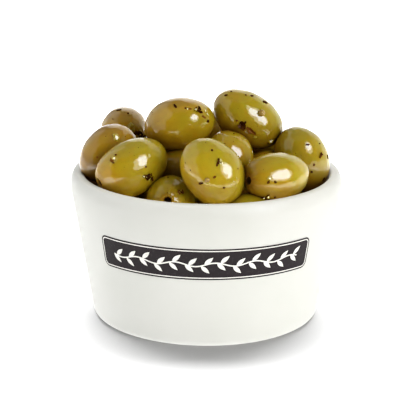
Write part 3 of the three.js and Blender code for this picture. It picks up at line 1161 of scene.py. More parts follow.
@dataclass
class Seasoning:
    """Every scrap of herb, crumb of pepper, seed and bead of oil on the olives.

    The bits are listed one by one, and all the rest is scattered. How much the skin
    faces the front goes from 1, straight at it, to -1: flakes and beads are
    scattered only where it is below off_front, and crumbs keep off what lies
    between the two numbers of crumb_free. Heights are shares of a thing's width,
    and so are the lifts of crumbs and seeds.
    """

    heap: OliveHeap
    tree: BVHTree
    flake_thickness: float = 0.22
    flake_sides: int = 16
    flake_rings: tuple[float, ...] = (0.4, 0.75, 1.0)
    flake_ragged: tuple[float, float] = (0.72, 1.15)
    flake_taper: float = 0.25
    flake_crumple: float = 0.16
    flake_curl: float = 0.10
    flake_rise: float = 0.06
    leaf_fold: float = 0.55
    crumb_profile: tuple[Spot, ...] = ((0.0, -0.42), (0.36, -0.30), (0.5, 0.02), (0.33, 0.30), (0.0, 0.42))
    crumb_ragged: tuple[float, float] = (0.70, 1.25)
    crumb_height: float = 0.75
    crumb_lift: float = 0.18
    bead_height: float = 0.55
    seed_height: float = 0.8
    seed_lift: float = 0.22
    pool_height: float = 0.2
    pool_reaches: tuple[float, ...] = (0.35, 0.6, 0.8, 0.92, 1.0)
    pool_lobes: tuple[int, int, int] = (2, 3, 5)
    pool_unevenness: float = 0.12
    clump_crowding: float = 2.2
    clump_reach: float = 0.42
    clump_lift: float = 0.3
    skin_radius: float = 9.5
    flakes_per_olive: int = 5
    crumbs_per_olive: int = 12
    beads_per_olive: int = 4
    flake_sizes: tuple[float, float] = (1.2, 3.2)
    crumb_sizes: tuple[float, float, float] = (0.25, 0.45, 1.1)
    bead_sizes: tuple[float, float] = (0.5, 1.4)
    off_front: float = -0.2
    crumb_free: tuple[float, float] = (-0.15, 0.4)
    lowest: float = 44.0
    bits: tuple[Bit, ...] = (
        Bit("back_left", -1.9, 8.0, Kind.FLAKE, 2.3, 1.0, 35, 0.0),
        Bit("back_left", 1.7, 6.6, Kind.CRUMB, 1.1, 0.8, 0, 0.1),
        Bit("back_left", 2.4, 6.1, Kind.SEED, 0.8, 0.8),
        Bit("back_left", -3.9, 4.4, Kind.CRUMB, 0.5, 0.5, 0, 0.4),
        Bit("back_left", 5.6, -0.6, Kind.CLUMP, 3.2, 2.2, -20, 0.0),
        Bit("back_left", 7.6, -1.6, Kind.CLUMP, 3.0, 1.8, -10, 0.1),
        Bit("back_left", 2.9, 1.9, Kind.POOL, 2.4, 1.9, 60),
        Bit("back_left", 4.0, 0.4, Kind.POOL, 1.2, 1.0, 60),
        Bit("left", -3.2, -1.7, Kind.CRUMB, 1.0, 0.7, 20, 0.8),
        Bit("left", 3.4, 5.5, Kind.POOL, 2.9, 2.9, 0),
        Bit("front_left", -5.2, 4.0, Kind.CRUMB, 0.9, 0.9, 0, 0.3),
        Bit("front_left", -6.5, 2.3, Kind.FLAKE, 2.1, 1.5, -70, 0.9),
        Bit("front_left", -5.9, 2.8, Kind.POOL, 1.9, 1.5, -60),
        Bit("front_left", -6.0, 1.2, Kind.CRUMB, 1.1, 0.7, -40, 0.3),
        Bit("front_left", 5.3, 0.0, Kind.CRUMB, 0.9, 0.8, 0, 0.5),
        Bit("front_left", 6.0, -3.4, Kind.CLUMP, 3.5, 2.2, 30, 0.0),
        Bit("front_left", 5.4, -3.0, Kind.POOL, 0.7, 0.5, 30),
        Bit("front_left", 6.6, -3.9, Kind.POOL, 0.6, 0.5, 30),
        Bit("top_left", -1.4, 6.0, Kind.FLAKE, 2.1, 0.9, -50, 0.1),
        Bit("top_left", 2.3, 5.2, Kind.CRUMB, 0.9, 0.8, 0, 0.4),
        Bit("top_left", 2.9, 5.0, Kind.POOL, 0.9, 0.8),
        Bit("top_left", 3.9, 5.0, Kind.CRUMB, 1.2, 0.8, 0, 0.9),
        Bit("top_left", 6.7, 4.7, Kind.CLUMP, 2.2, 1.8, -30, 0.0),
        Bit("top_left", 8.9, 2.2, Kind.FLAKE, 2.0, 0.9, -35, 0.8),
        Bit("top_left", 10.3, 0.8, Kind.CRUMB, 1.4, 1.0, -30, 0.1),
        Bit("top_left", 10.2, 3.4, Kind.POOL, 1.5, 1.0, -60),
        Bit("top_left", 9.4, 4.6, Kind.POOL, 1.0, 0.7, -60),
        Bit("top_right", -6.2, 9.4, Kind.CRUMB, 0.9, 0.6, 0, 0.1),
        Bit("top_right", -8.2, 8.0, Kind.FLAKE, 1.5, 0.8, 30, 0.1),
        Bit("top_right", -1.0, 8.1, Kind.CRUMB, 0.8, 0.7, 0, 0.3),
        Bit("top_right", 1.3, 7.9, Kind.FLAKE, 1.5, 0.9, -10, 0.1),
        Bit("top_right", 6.2, 5.8, Kind.FLAKE, 3.0, 1.5, -28, 0.05),
        Bit("top_right", 4.6, 1.5, Kind.SEED, 2.6, 2.6),
        Bit("top_right", -2.2, -3.2, Kind.LEAF, 3.8, 2.8, -50, 0.12),
        Bit("top_right", -1.2, -2.0, Kind.CRUMB, 1.2, 0.7, 60, 0.1),
        Bit("top_right", 1.0, -4.9, Kind.LEAF, 4.8, 1.7, -40, 0.75),
        Bit("top_right", 2.4, -5.6, Kind.CRUMB, 1.0, 0.6, -20, 0.2),
        Bit("top_right", -4.1, -1.3, Kind.CRUMB, 0.9, 0.7, 0, 0.5),
        Bit("top_right", 2.6, -7.2, Kind.BEAD, 1.6, 0.9, 10),
        Bit("top_right", 8.6, -8.4, Kind.POOL, 2.6, 1.4, 35),
        Bit("middle", -2.1, 2.9, Kind.CRUMB, 0.7, 0.6, 0, 0.5),
        Bit("middle", 1.3, 6.8, Kind.CRUMB, 0.6, 0.5, 0, 0.5),
        Bit("middle", -4.8, 6.3, Kind.BEAD, 1.6, 0.7, 10),
        Bit("right", 1.5, 5.1, Kind.FLAKE, 1.7, 0.8, 0, 0.2),
        Bit("right", 6.1, 5.7, Kind.CRUMB, 0.7, 0.6, 0, 0.3),
        Bit("right", 6.8, 1.4, Kind.CLUMP, 1.6, 1.2, 60, 0.2),
        Bit("right", 9.4, 1.1, Kind.FLAKE, 1.7, 0.8, 80, 0.1),
        Bit("right", 4.1, -2.1, Kind.CRUMB, 1.1, 0.8, 70, 0.5),
        Bit("right", 3.3, -4.6, Kind.CRUMB, 1.1, 1.0, 50, 0.2),
        Bit("right", 8.0, -7.2, Kind.FLAKE, 1.6, 1.0, 60, 0.1),
        Bit("front", -0.1, 7.1, Kind.CRUMB, 0.9, 0.9, 0, 0.05),
        Bit("front", 2.4, 2.8, Kind.CLUMP, 1.8, 1.4, -50, 0.1),
        Bit("front", 3.4, 2.9, Kind.POOL, 1.6, 0.8, 80),
        Bit("front", 8.8, 1.0, Kind.CRUMB, 0.6, 0.5, 0, 0.4),
        Bit("front", 7.4, -3.4, Kind.POOL, 0.7, 0.6, 0),
        Bit("front", 6.6, -4.4, Kind.POOL, 0.5, 0.5, 0),
        Bit("front", 8.4, -2.2, Kind.POOL, 0.5, 0.4, 0),
        Bit("front", 7.9, -4.0, Kind.POOL, 0.4, 0.4, 0),
        Bit("front", 0.8, -2.1, Kind.CRUMB, 1.5, 0.9, 30, 0.5),
        Bit("front", -1.6, -3.0, Kind.SEED, 1.7, 1.6),
        Bit("front", -1.4, -4.3, Kind.BEAD, 1.5, 0.8, 0),
        Bit("front", -3.8, -4.2, Kind.FLAKE, 1.9, 1.0, 10, 0.2),
        Bit("front", 4.1, -5.6, Kind.CRUMB, 1.1, 0.8, 0, 0.3),
        Bit("front", -9.2, 2.8, Kind.CRUMB, 0.5, 0.4, 0, 0.1),
        Bit("front", -7.4, 0.3, Kind.CRUMB, 0.5, 0.4, 0, 0.1),
        Bit("front_right", -3.1, -2.0, Kind.CRUMB, 1.4, 1.0, 40, 0.2),
        Bit("front_right", -0.7, -1.8, Kind.CRUMB, 1.2, 1.0, -30, 0.2),
        Bit("front_right", -3.8, -6.9, Kind.CLUMP, 2.6, 1.4, 5, 0.0),
        Bit("front_right", -0.6, -7.0, Kind.CRUMB, 1.0, 0.7, 15, 0.2),
        Bit("front_right", -2.6, -0.6, Kind.POOL, 1.9, 1.5, 20),
        Bit("front_right", 5.8, -1.6, Kind.BEAD, 0.8, 0.6, 0),
        Bit("low_front", 3.6, 2.7, Kind.CLUMP, 2.2, 1.7, -40, 0.5),
        Bit("low_front", -0.7, 8.0, Kind.CRUMB, 0.7, 0.5, 0, 0.7),
        Bit("low_front", 5.3, 0.3, Kind.BEAD, 0.8, 0.7, 0),
    )

    def landing(self, olive: Olive, across: float, up: float) -> tuple[Vector, Vector] | None:
        """Where a thing that comes from the front lands on the heap.

        Args:
            olive: The olive that it is placed from.
            across: Millimetres to the right of that olive's middle.
            up: Millimetres above its middle, as seen from a little above the level.

        Returns:
            The point in millimetres and the way out of the skin, or None past the heap's edge.
        """
        towards, upwards = front_ways()
        start = olive.centre + Vector((across, 0, 0)) + upwards * up
        point, normal, _, _ = self.tree.ray_cast(start + towards * 40, -towards)
        return None if point is None else (point, normal)

    def scattered(self, count: int, salt: int) -> list[tuple[Vector, Vector, int]]:
        """Spots spread over the open skin of the heap, each on the olive that it is drawn for.

        Args:
            count: How many to try on each olive.
            salt: First of the draws that they use.

        Returns:
            Each spot's point in millimetres, the way out of the skin, and its number.
        """
        spots = []
        for k, olive in enumerate(self.heap.olives.values()):
            for n in range(count):
                way = direction(360 * draw(k, salt + n), -20 + 105 * draw(k, salt + 40 + n))
                start = olive.centre + way * olive.length * 1.6
                point, normal, _, _ = self.tree.ray_cast(start, -way)
                if point is None or point.z < self.lowest:
                    continue
                if (point - olive.centre).length < olive.length / 2 + 0.6:
                    spots.append((point, normal, 100 * k + n))
        return spots

    def laid(self, shape: Shape, point: Vector, normal: Vector, turn: float) -> Shape:
        """Lays a small shape, made round its own middle with +Z out of the skin, on the skin.

        Args:
            shape: Its vertices in millimetres, and its faces.
            point: Where it lies.
            normal: The way out of the skin there.
            turn: Degrees that it is turned about that way, from the level.

        Returns:
            The placed vertices, and the faces.
        """
        points, faces = shape
        level = Vector((0, 0, 1)).cross(normal)
        level = level.normalized() if level.length > 0.1 else Vector((1, 0, 0))
        along = Matrix.Rotation(math.radians(turn), 3, normal) @ level
        across = normal.cross(along)
        return points @ np.array([along, across, normal]) + np.array(point), faces

    def flake(self, length: float, width: float, fold: float, seed: int) -> Shape:
        """Makes a thin ragged flake that hugs the round skin.

        Args:
            length: Its length in millimetres.
            width: Its width in millimetres.
            fold: How far its two sides stand up from the rib, 0 for a flat one.
            seed: Number that its raggedness is drawn from.

        Returns:
            Its vertices and faces.
        """
        sides, rings = self.flake_sides, self.flake_rings
        plan = [(0.0, 0.0)]
        for ring in rings:
            for j in range(sides):
                a = 2 * math.pi * j / sides
                reach = ring * (between(*self.flake_ragged, draw(seed, j)) if ring == 1.0 else 0.9)
                taper = 1 - self.flake_taper * fold * math.cos(a)
                plan.append((reach * math.cos(a) * length / 2, reach * math.sin(a) * width / 2 * taper))
        u, v = np.array(plan).T
        crumple = np.array([noise.noise((x * 0.9 + seed, y * 0.9, 0.5)) for x, y in plan])
        rise = fold * np.abs(v) + self.flake_crumple * width * crumple
        rise = rise + self.flake_curl * (u / length * 2) ** 2
        rise = rise - (u**2 + v**2) / (2 * self.skin_radius) + self.flake_rise
        thick = self.flake_thickness / 2
        points = np.vstack([np.column_stack([u, v, rise + thick]), np.column_stack([u, v, rise - thick])])
        return points, self.flake_faces(len(plan))

    def flake_faces(self, half: int) -> list[Face]:
        """Faces of a flake's two sides and of the edge between them.

        Args:
            half: How many vertices each side has.

        Returns:
            The faces, which look outwards.
        """
        sides = self.flake_sides
        faces: list[Face] = []
        for j in range(sides):
            k = (j + 1) % sides
            faces += [(0, 1 + j, 1 + k), (half, half + 1 + k, half + 1 + j)]
            for i in range(len(self.flake_rings) - 1):
                a, b = 1 + i * sides, 1 + (i + 1) * sides
                upper = (a + j, b + j, b + k, a + k)
                faces += [upper, (half + upper[3], half + upper[2], half + upper[1], half + upper[0])]
            last = 1 + (len(self.flake_rings) - 1) * sides
            faces.append((last + j, half + last + j, half + last + k, last + k))
        return faces

    def crumb(self, length: float, width: float, seed: int) -> Shape:
        """Makes an angular crumb, about as tall as it is wide.

        Args:
            length: Its length in millimetres.
            width: Its width in millimetres.
            seed: Number that its raggedness is drawn from.

        Returns:
            Its vertices and faces.
        """
        points, faces = turned(self.crumb_profile, 6)
        ragged = np.array([between(*self.crumb_ragged, draw(seed, i)) for i in range(len(points))])
        points = points * ragged[:, None] * np.array([length, width, self.crumb_height * width])
        return points + np.array([0, 0, self.crumb_lift * width]), faces

    def rounded(self, size: tuple[float, float, float], steps: int, segments: int) -> Shape:
        """Makes a round thing as long, wide and high as its size, in millimetres.

        Args:
            size: Its length, width and height.
            steps: Steps from its underside to its top.
            segments: Sides round it.

        Returns:
            Its vertices and faces.
        """
        dome = arc((0, 0), 0.5, 0.5, -90, 90, steps)
        points, faces = turned([(0.0, -0.5), *dome[1:-1], (0.0, 0.5)], segments)
        return points * np.array(size), faces

    def bead(self, length: float, width: float) -> Shape:
        """Makes a lens-shaped bead of oil."""
        return self.rounded((length, width, self.bead_height * width), 10, 16)

    def ball(self, length: float, width: float) -> Shape:
        """Makes a round seed, a little flattened, that lies on the skin."""
        points, faces = self.rounded((length, width, self.seed_height * width), 14, 24)
        return points + np.array([0, 0, self.seed_lift * width]), faces

    def pool(self, length: float, width: float, seed: int) -> Shape:
        """Makes a flat pool of oil with an uneven outline and a rounded edge.

        Args:
            length: Its length in millimetres.
            width: Its width in millimetres.
            seed: Number that its outline is drawn from.

        Returns:
            Its vertices and faces.
        """
        shell = [(reach, 1 - reach**6) for reach in self.pool_reaches]
        profile = [(0.0, -1.0), *[(r, -h) for r, h in shell[:-1]], *reversed(shell), (0.0, 1.0)]
        points, faces = turned(profile, 24)
        angle = np.arctan2(points[:, 1], points[:, 0])
        uneven = [self.pool_unevenness * math.sin(k * a + 6.3 * draw(seed, k))
                  for a in angle for k in self.pool_lobes]
        points[:, :2] *= (1 + np.array(uneven).reshape(len(angle), -1).sum(axis=1))[:, None]
        return points * np.array([length / 2, width / 2, self.pool_height * width]), faces

    def clump(self, bit: Bit, herbs: MeshGatherer, beads: MeshGatherer, seed: int) -> None:
        """Adds a wet clump: flakes and crumbs heaped over each other, with oil between them.

        Args:
            bit: The clump's place, size and tone.
            herbs: The mesh that its flakes and crumbs go into.
            beads: The mesh that its oil goes into.
            seed: Number that its scraps are drawn from.
        """
        for n in range(max(5, round(self.clump_crowding * bit.length * bit.width))):
            across = bit.across + self.clump_reach * bit.length * (2 * draw(seed, n) - 1)
            up = bit.up + self.clump_reach * bit.width * (2 * draw(seed, 30 + n) - 1)
            landed = self.landing(self.heap.olives[bit.olive], across, up)
            if landed is None:
                continue
            point, normal = landed
            over = point + normal * self.clump_lift
            turn, size = 180 * draw(seed, 60 + n), between(0.5, 1.5, draw(seed, 90 + n))
            if n % 4 == 3:
                wet = self.pool(0.8 * size, 0.6 * size, seed + n)
                beads.add(*self.laid(wet, over, glint_way(point), turn))
            elif n % 2:
                crumb = self.crumb(size, 0.7 * size, seed + n)
                herbs.add(*self.laid(crumb, point, normal, turn), tone=bit.tone + 0.3 * draw(seed, 120 + n))
            else:
                flake = self.flake(1.6 * size, 0.7 * size, 0.5 * draw(seed, 150 + n), seed + n)
                stands = (normal + direction(360 * draw(seed, 210 + n), 0) * 0.8).normalized()
                herbs.add(*self.laid(flake, over, stands, turn), tone=bit.tone + 0.3 * draw(seed, 180 + n))

    def place(self, bit: Bit, herbs: MeshGatherer, seeds: MeshGatherer, beads: MeshGatherer,
              seed: int) -> None:
        """Adds one listed bit to the mesh of its kind.

        Args:
            bit: What it is, and where.
            herbs: The mesh of flakes, leaves, crumbs and clumps.
            seeds: The mesh of seeds.
            beads: The mesh of beads and pools.
            seed: Number that its shape is drawn from.
        """
        if bit.kind is Kind.CLUMP:
            self.clump(bit, herbs, beads, seed)
            return
        landed = self.landing(self.heap.olives[bit.olive], bit.across, bit.up)
        if landed is None:
            return
        point, normal = landed
        if bit.kind is Kind.SEED:
            seeds.add(*self.laid(self.ball(bit.length, bit.width), point, normal, bit.turn))
        elif bit.kind is Kind.BEAD:
            beads.add(*self.laid(self.bead(bit.length, bit.width), point, normal, bit.turn))
        elif bit.kind is Kind.POOL:
            lean = (normal * 0.1 + glint_way(point)).normalized()
            beads.add(*self.laid(self.pool(bit.length, bit.width, seed), point, lean, bit.turn))
        elif bit.kind is Kind.CRUMB:
            crumb = self.crumb(bit.length, bit.width, seed)
            herbs.add(*self.laid(crumb, point, normal, bit.turn), tone=bit.tone)
        else:
            fold = self.leaf_fold if bit.kind is Kind.LEAF else 0.0
            flake = self.flake(bit.length, bit.width, fold, seed)
            herbs.add(*self.laid(flake, point, normal, bit.turn), tone=bit.tone)

    def scatter(self, herbs: MeshGatherer, crumbs: MeshGatherer, beads: MeshGatherer) -> None:
        """Spreads flakes, crumbs and beads over the heap, the flakes and beads off its front.

        Args:
            herbs: The mesh of flakes.
            crumbs: The mesh of crumbs.
            beads: The mesh of beads.
        """
        towards, _ = front_ways()
        for point, normal, seed in self.scattered(self.flakes_per_olive, 100):
            if normal.dot(towards) < self.off_front:
                length = between(*self.flake_sizes, draw(seed, 1) ** 1.5)
                flake = self.flake(length, length * between(0.4, 0.75, draw(seed, 2)), 0.0, seed)
                herbs.add(*self.laid(flake, point, normal, 180 * draw(seed, 3)),
                          tone=between(0.0, 0.7, draw(seed, 4) ** 2))
        smallest, largest_front, largest_back = self.crumb_sizes
        for point, normal, seed in self.scattered(self.crumbs_per_olive, 200):
            facing = normal.dot(towards)
            if self.crumb_free[0] < facing < self.crumb_free[1]:
                continue
            largest = largest_front if facing >= self.crumb_free[1] else largest_back
            size = between(smallest, largest, draw(seed, 5) ** 2)
            crumbs.add(*self.laid(self.crumb(size, 0.8 * size, seed), point, normal, 180 * draw(seed, 7)),
                       tone=between(0.0, 0.9, draw(seed, 6)))
        for point, normal, seed in self.scattered(self.beads_per_olive, 300):
            if normal.dot(towards) < self.off_front:
                size = between(*self.bead_sizes, draw(seed, 8) ** 2)
                beads.add(*self.laid(self.bead(size, 0.75 * size), point, normal, 180 * draw(seed, 9)))

    def build(self) -> list[bpy.types.Object]:
        """Makes the flakes and clumps, the crumbs, the seeds and the beads of oil.

        Returns:
            The four pieces.
        """
        herbs, crumbs, seeds, beads = (MeshGatherer() for _ in range(4))
        for number, bit in enumerate(self.bits):
            self.place(bit, herbs, seeds, beads, 500 + 17 * number)
        self.scatter(herbs, crumbs, beads)
        herb = DriedHerb().material()
        made = [
            (herbs.to_object("herb_flakes", herb, smooth=False), "herb"),
            (crumbs.to_object("herb_crumbs", herb, smooth=False), "herb"),
            (seeds.to_object("round_seeds", SeedHusk().material()), "herb"),
            (beads.to_object("oil_beads", OilBead().material()), "olive_skin"),
        ]
        for piece, slot in made:
            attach(piece, BODY)
        return [piece for piece, _ in made]


# ---- the printed panel -----------------------------------------------------------


@dataclass
class PrintedPanel:
    """Charcoal panel on the bowl's front, with a pale line and a trailing sprig.

    Where a method takes along and up, they are millimetres from the panel's middle.
    """

    bowl: Bowl
    low: float = 26.7
    high: float = 38.4
    half_angle: float = 49.5
    corner: float = 2.4
    corner_steps: int = 8
    strips: int = 40
    line_inset: float = 0.75
    line_width: float = 0.38
    longest_step: float = 1.5
    proud: float = 0.06
    leaf_pairs: int = 13
    leaf_length: float = 4.0
    leaf_width: float = 1.55
    leaf_steps: int = 8
    leaf_tilt: float = 42.0
    leaf_foot: float = 0.15
    leaf_lead: float = 1.2
    stem_width: float = 0.5
    stem_steps: int = 120
    wave_height: float = 0.7
    wave_length: float = 14.0
    end_margin: float = 6.0
    charcoal: FiredPrint = FiredPrint("charcoal_print", (0.018, 0.013, 0.015), (0.035, 0.028, 0.030))
    ivory: FiredPrint = FiredPrint("ivory_print", (0.80, 0.79, 0.74), (0.62, 0.60, 0.56))

    @property
    def middle(self) -> float:
        """Height of the panel's middle."""
        return (self.low + self.high) / 2

    @property
    def half_length(self) -> float:
        """Half of the panel's length along the wall."""
        return math.radians(self.half_angle) * self.bowl.wall_radius_at(self.middle)

    def on_wall(self, along: float, up: float, proud: float) -> tuple[float, float, float]:
        """Finds a point on the wall.

        Args:
            along: Its distance along the wall, to the right.
            up: Its distance upwards.
            proud: How far it stands out of the glaze.

        Returns:
            The point in millimetres.
        """
        height = self.middle + up
        angle = along / self.bowl.wall_radius_at(self.middle)
        radius = self.bowl.wall_radius_at(height) + proud
        return radius * math.sin(angle), -radius * math.cos(angle), height

    def rounded_outline(self, inset: float) -> list[Spot]:
        """Outline of the panel with round corners.

        Args:
            inset: How far it is moved inwards.

        Returns:
            Its points (along, up), with no stretch longer than the longest step.
        """
        width, height = self.half_length - inset, (self.high - self.low) / 2 - inset
        radius = max(self.corner - inset, 0.2)
        outline: list[Spot] = []
        for cx, cy, start in ((1, 1, 0), (-1, 1, 90), (-1, -1, 180), (1, -1, 270)):
            centre = (cx * (width - radius), cy * (height - radius))
            outline += arc(centre, radius, radius, start, start + 90, self.corner_steps)
        dense: list[Spot] = []
        for (x0, y0), (x1, y1) in zip(outline, [*outline[1:], outline[0]]):
            pieces = max(1, math.ceil(math.hypot(x1 - x0, y1 - y0) / self.longest_step))
            dense += [(between(x0, x1, i / pieces), between(y0, y1, i / pieces)) for i in range(pieces)]
        return dense

    def field_strips(self, gatherer: MeshGatherer, proud: float) -> None:
        """Adds the charcoal field, in narrow strips so that it follows the round wall.

        Args:
            gatherer: The mesh that it goes into.
            proud: How far it stands out of the glaze.
        """
        half_height = (self.high - self.low) / 2
        radius = self.corner
        edge = [self.half_length - radius + radius * math.sin(math.radians(a)) for a in range(0, 91, 10)]
        inner = np.linspace(0, self.half_length - radius, self.strips, endpoint=False).tolist()
        right = inner + edge
        stations = [-s for s in reversed(right[1:])] + right
        points, faces = [], []
        for i, along in enumerate(stations):
            past = max(abs(along) - (self.half_length - radius), 0.0)
            reach = half_height - radius + math.sqrt(max(radius**2 - past**2, 0.0))
            points += [self.on_wall(along, up, proud) for up in (-reach, 0.0, reach)]
            if i:
                a, b = 3 * (i - 1), 3 * i
                faces += [(a, b, b + 1, a + 1), (a + 1, b + 1, b + 2, a + 2)]
        gatherer.add(np.array(points), faces)

    def ribbon(self, gatherer: MeshGatherer, path: list[Spot], width: float, proud: float,
               closed: bool = False) -> None:
        """Adds a printed line of even width.

        Args:
            gatherer: The mesh that it goes into.
            path: Points (along, up) of its middle.
            width: Its width in millimetres.
            proud: How far it stands out of the glaze.
            closed: Whether its end meets its start.
        """
        points, faces = [], []
        count = len(path)
        for i, (along, up) in enumerate(path):
            before = path[i - 1] if closed or i else path[i]
            after = path[(i + 1) % count] if closed or i < count - 1 else path[i]
            way = Vector((after[0] - before[0], after[1] - before[1])).normalized()
            side = Vector((-way.y, way.x)) * width / 2
            points += [self.on_wall(along + side.x, up + side.y, proud),
                       self.on_wall(along - side.x, up - side.y, proud)]
        for i in range(count if closed else count - 1):
            a, b = 2 * i, 2 * ((i + 1) % count)
            faces.append((a + 1, b + 1, b, a))
        gatherer.add(np.array(points), faces)

    def leaf(self, gatherer: MeshGatherer, along: float, up: float, turn: float, proud: float) -> None:
        """Adds one pointed leaf.

        Args:
            gatherer: The mesh that it goes into.
            along: Where its foot is, to the right.
            up: Where its foot is, upwards.
            turn: Degrees that it points above the level.
            proud: How far it stands out of the glaze.
        """
        angle = math.radians(turn)
        points, faces = [], []
        for i in range(self.leaf_steps + 1):
            s = i / self.leaf_steps
            inside = 0 < i < self.leaf_steps
            half = self.leaf_width / 2 * math.sin(math.pi * s ** 0.85) ** 0.9 if inside else 0.02
            for side in (half, -half):
                forward = s * self.leaf_length
                points.append(self.on_wall(along + forward * math.cos(angle) - side * math.sin(angle),
                                           up + forward * math.sin(angle) + side * math.cos(angle), proud))
            if i:
                a = 2 * (i - 1)
                faces.append((a + 1, a + 3, a + 2, a))
        gatherer.add(np.array(points), faces)

    def stem(self, along: float) -> float:
        """Height of the sprig's waving stem at a distance along the panel."""
        return self.wave_height * math.sin(along * 2 * math.pi / self.wave_length)

    def sprig(self, gatherer: MeshGatherer, proud: float) -> None:
        """Adds the trailing sprig, with leaves in turn above and below its stem.

        Args:
            gatherer: The mesh that it goes into.
            proud: How far it stands out of the glaze.
        """
        reach = self.half_length - self.end_margin
        path = [(a, self.stem(a)) for a in np.linspace(-reach, reach, self.stem_steps)]
        self.ribbon(gatherer, path, self.stem_width, proud)
        for i in range(self.leaf_pairs):
            along = between(-reach, reach - 3.0, i / (self.leaf_pairs - 1))
            for side, lead in ((1, self.leaf_lead), (-1, 0.0)):
                spot = along + lead
                foot = self.stem(spot) + side * self.leaf_foot
                self.leaf(gatherer, spot, foot, side * self.leaf_tilt, proud)

    def build(self) -> list[bpy.types.Object]:
        """Prints the field and, over it, the pale line and the sprig.

        Returns:
            The two pieces.
        """
        field_mesh, pale_mesh = MeshGatherer(), MeshGatherer()
        self.field_strips(field_mesh, self.proud)
        outline = self.rounded_outline(self.line_inset)
        self.ribbon(pale_mesh, outline, self.line_width, self.proud * 2, closed=True)
        self.sprig(pale_mesh, self.proud * 2)
        pieces = [field_mesh.to_object("panel_field", self.charcoal.material()),
                  pale_mesh.to_object("panel_sprig", self.ivory.material())]
        for piece in pieces:
            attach(piece, BODY)
        return pieces


# ---- the studio ------------------------------------------------------------------


@dataclass(frozen=True)
class Card:
    """White card that stands round the table, and how far it reaches.

    Its sides are in degrees from straight behind the bowl towards +X, and its
    top is in degrees above the level.
    """

    left: float
    right: float
    top: float
    light: float


class Lit(Enum):
    """What a lamp lights."""

    ALL = "everything"
    TABLE = "the table alone"
    BOWL = "the bowl alone"
    REST = "everything but the bowl"


@dataclass(frozen=True)
class Lamp:
    """Soft light that faces the bowl.

    Its place is azimuth, elevation and distance, as stand() takes them, and it may then
    be moved forward, towards the viewer. Its size is width and height in millimetres,
    its light is how bright its face is, only says what it lights, and its spread is in
    degrees. Nothing but the piece that it lights stands in the way of a lamp that goes
    through. One that isn't on_matt doesn't light matt finishes, and one that isn't
    on_gloss isn't mirrored.
    """

    name: str
    place: tuple[float, float, float]
    size: tuple[float, float]
    light: float
    only: Lit = Lit.ALL
    through: bool = False
    is_round: bool = False
    on_matt: bool = True
    on_gloss: bool = True
    colour: Colour = (1.0, 1.0, 1.0)
    spread: float = 180.0
    forward: float = 0.0

    def hang(self, table: bpy.types.Object, bowl: bpy.types.Object) -> None:
        """Hangs the lamp.

        Args:
            table: The table top.
            bowl: The glazed bowl.
        """
        light = bpy.data.lights.new(self.name, "AREA")
        light.shape = "ELLIPSE" if self.is_round else "RECTANGLE"
        light.size, light.size_y = (side * MM for side in self.size)
        share = math.pi / 4 if self.is_round else 1.0
        light.energy = self.light * math.pi * light.size * light.size_y * share
        light.spread = math.radians(self.spread)
        light.color = self.colour
        lamp = bpy.data.objects.new(self.name, light)
        place = stand(*self.place)
        lamp.location = place * MM
        lamp.location.y -= self.forward * MM
        lamp.rotation_euler = (Vector(TARGET) - place).to_track_quat("-Z", "Y").to_euler()
        lamp.visible_camera = False
        lamp.visible_diffuse = self.on_matt
        lamp.visible_glossy = self.on_gloss
        bpy.context.scene.collection.objects.link(lamp)
        if self.only is not Lit.ALL:
            piece = table if self.only is Lit.TABLE else bowl
            lamp.light_linking.receiver_collection = self.group(piece)
            if self.through:
                lamp.light_linking.blocker_collection = self.group(piece)

    def group(self, piece: bpy.types.Object) -> bpy.types.Collection:
        """Makes the list of what the lamp lights.

        Args:
            piece: The one object that it is only for, or that it leaves out.

        Returns:
            The list, as a collection that light linking reads.
        """
        group = bpy.data.collections.new(f"{self.name}_{piece.name}")
        group.objects.link(piece)
        state = "EXCLUDE" if self.only is Lit.REST else "INCLUDE"
        group.collection_objects[0].light_linking.link_state = state
        return group


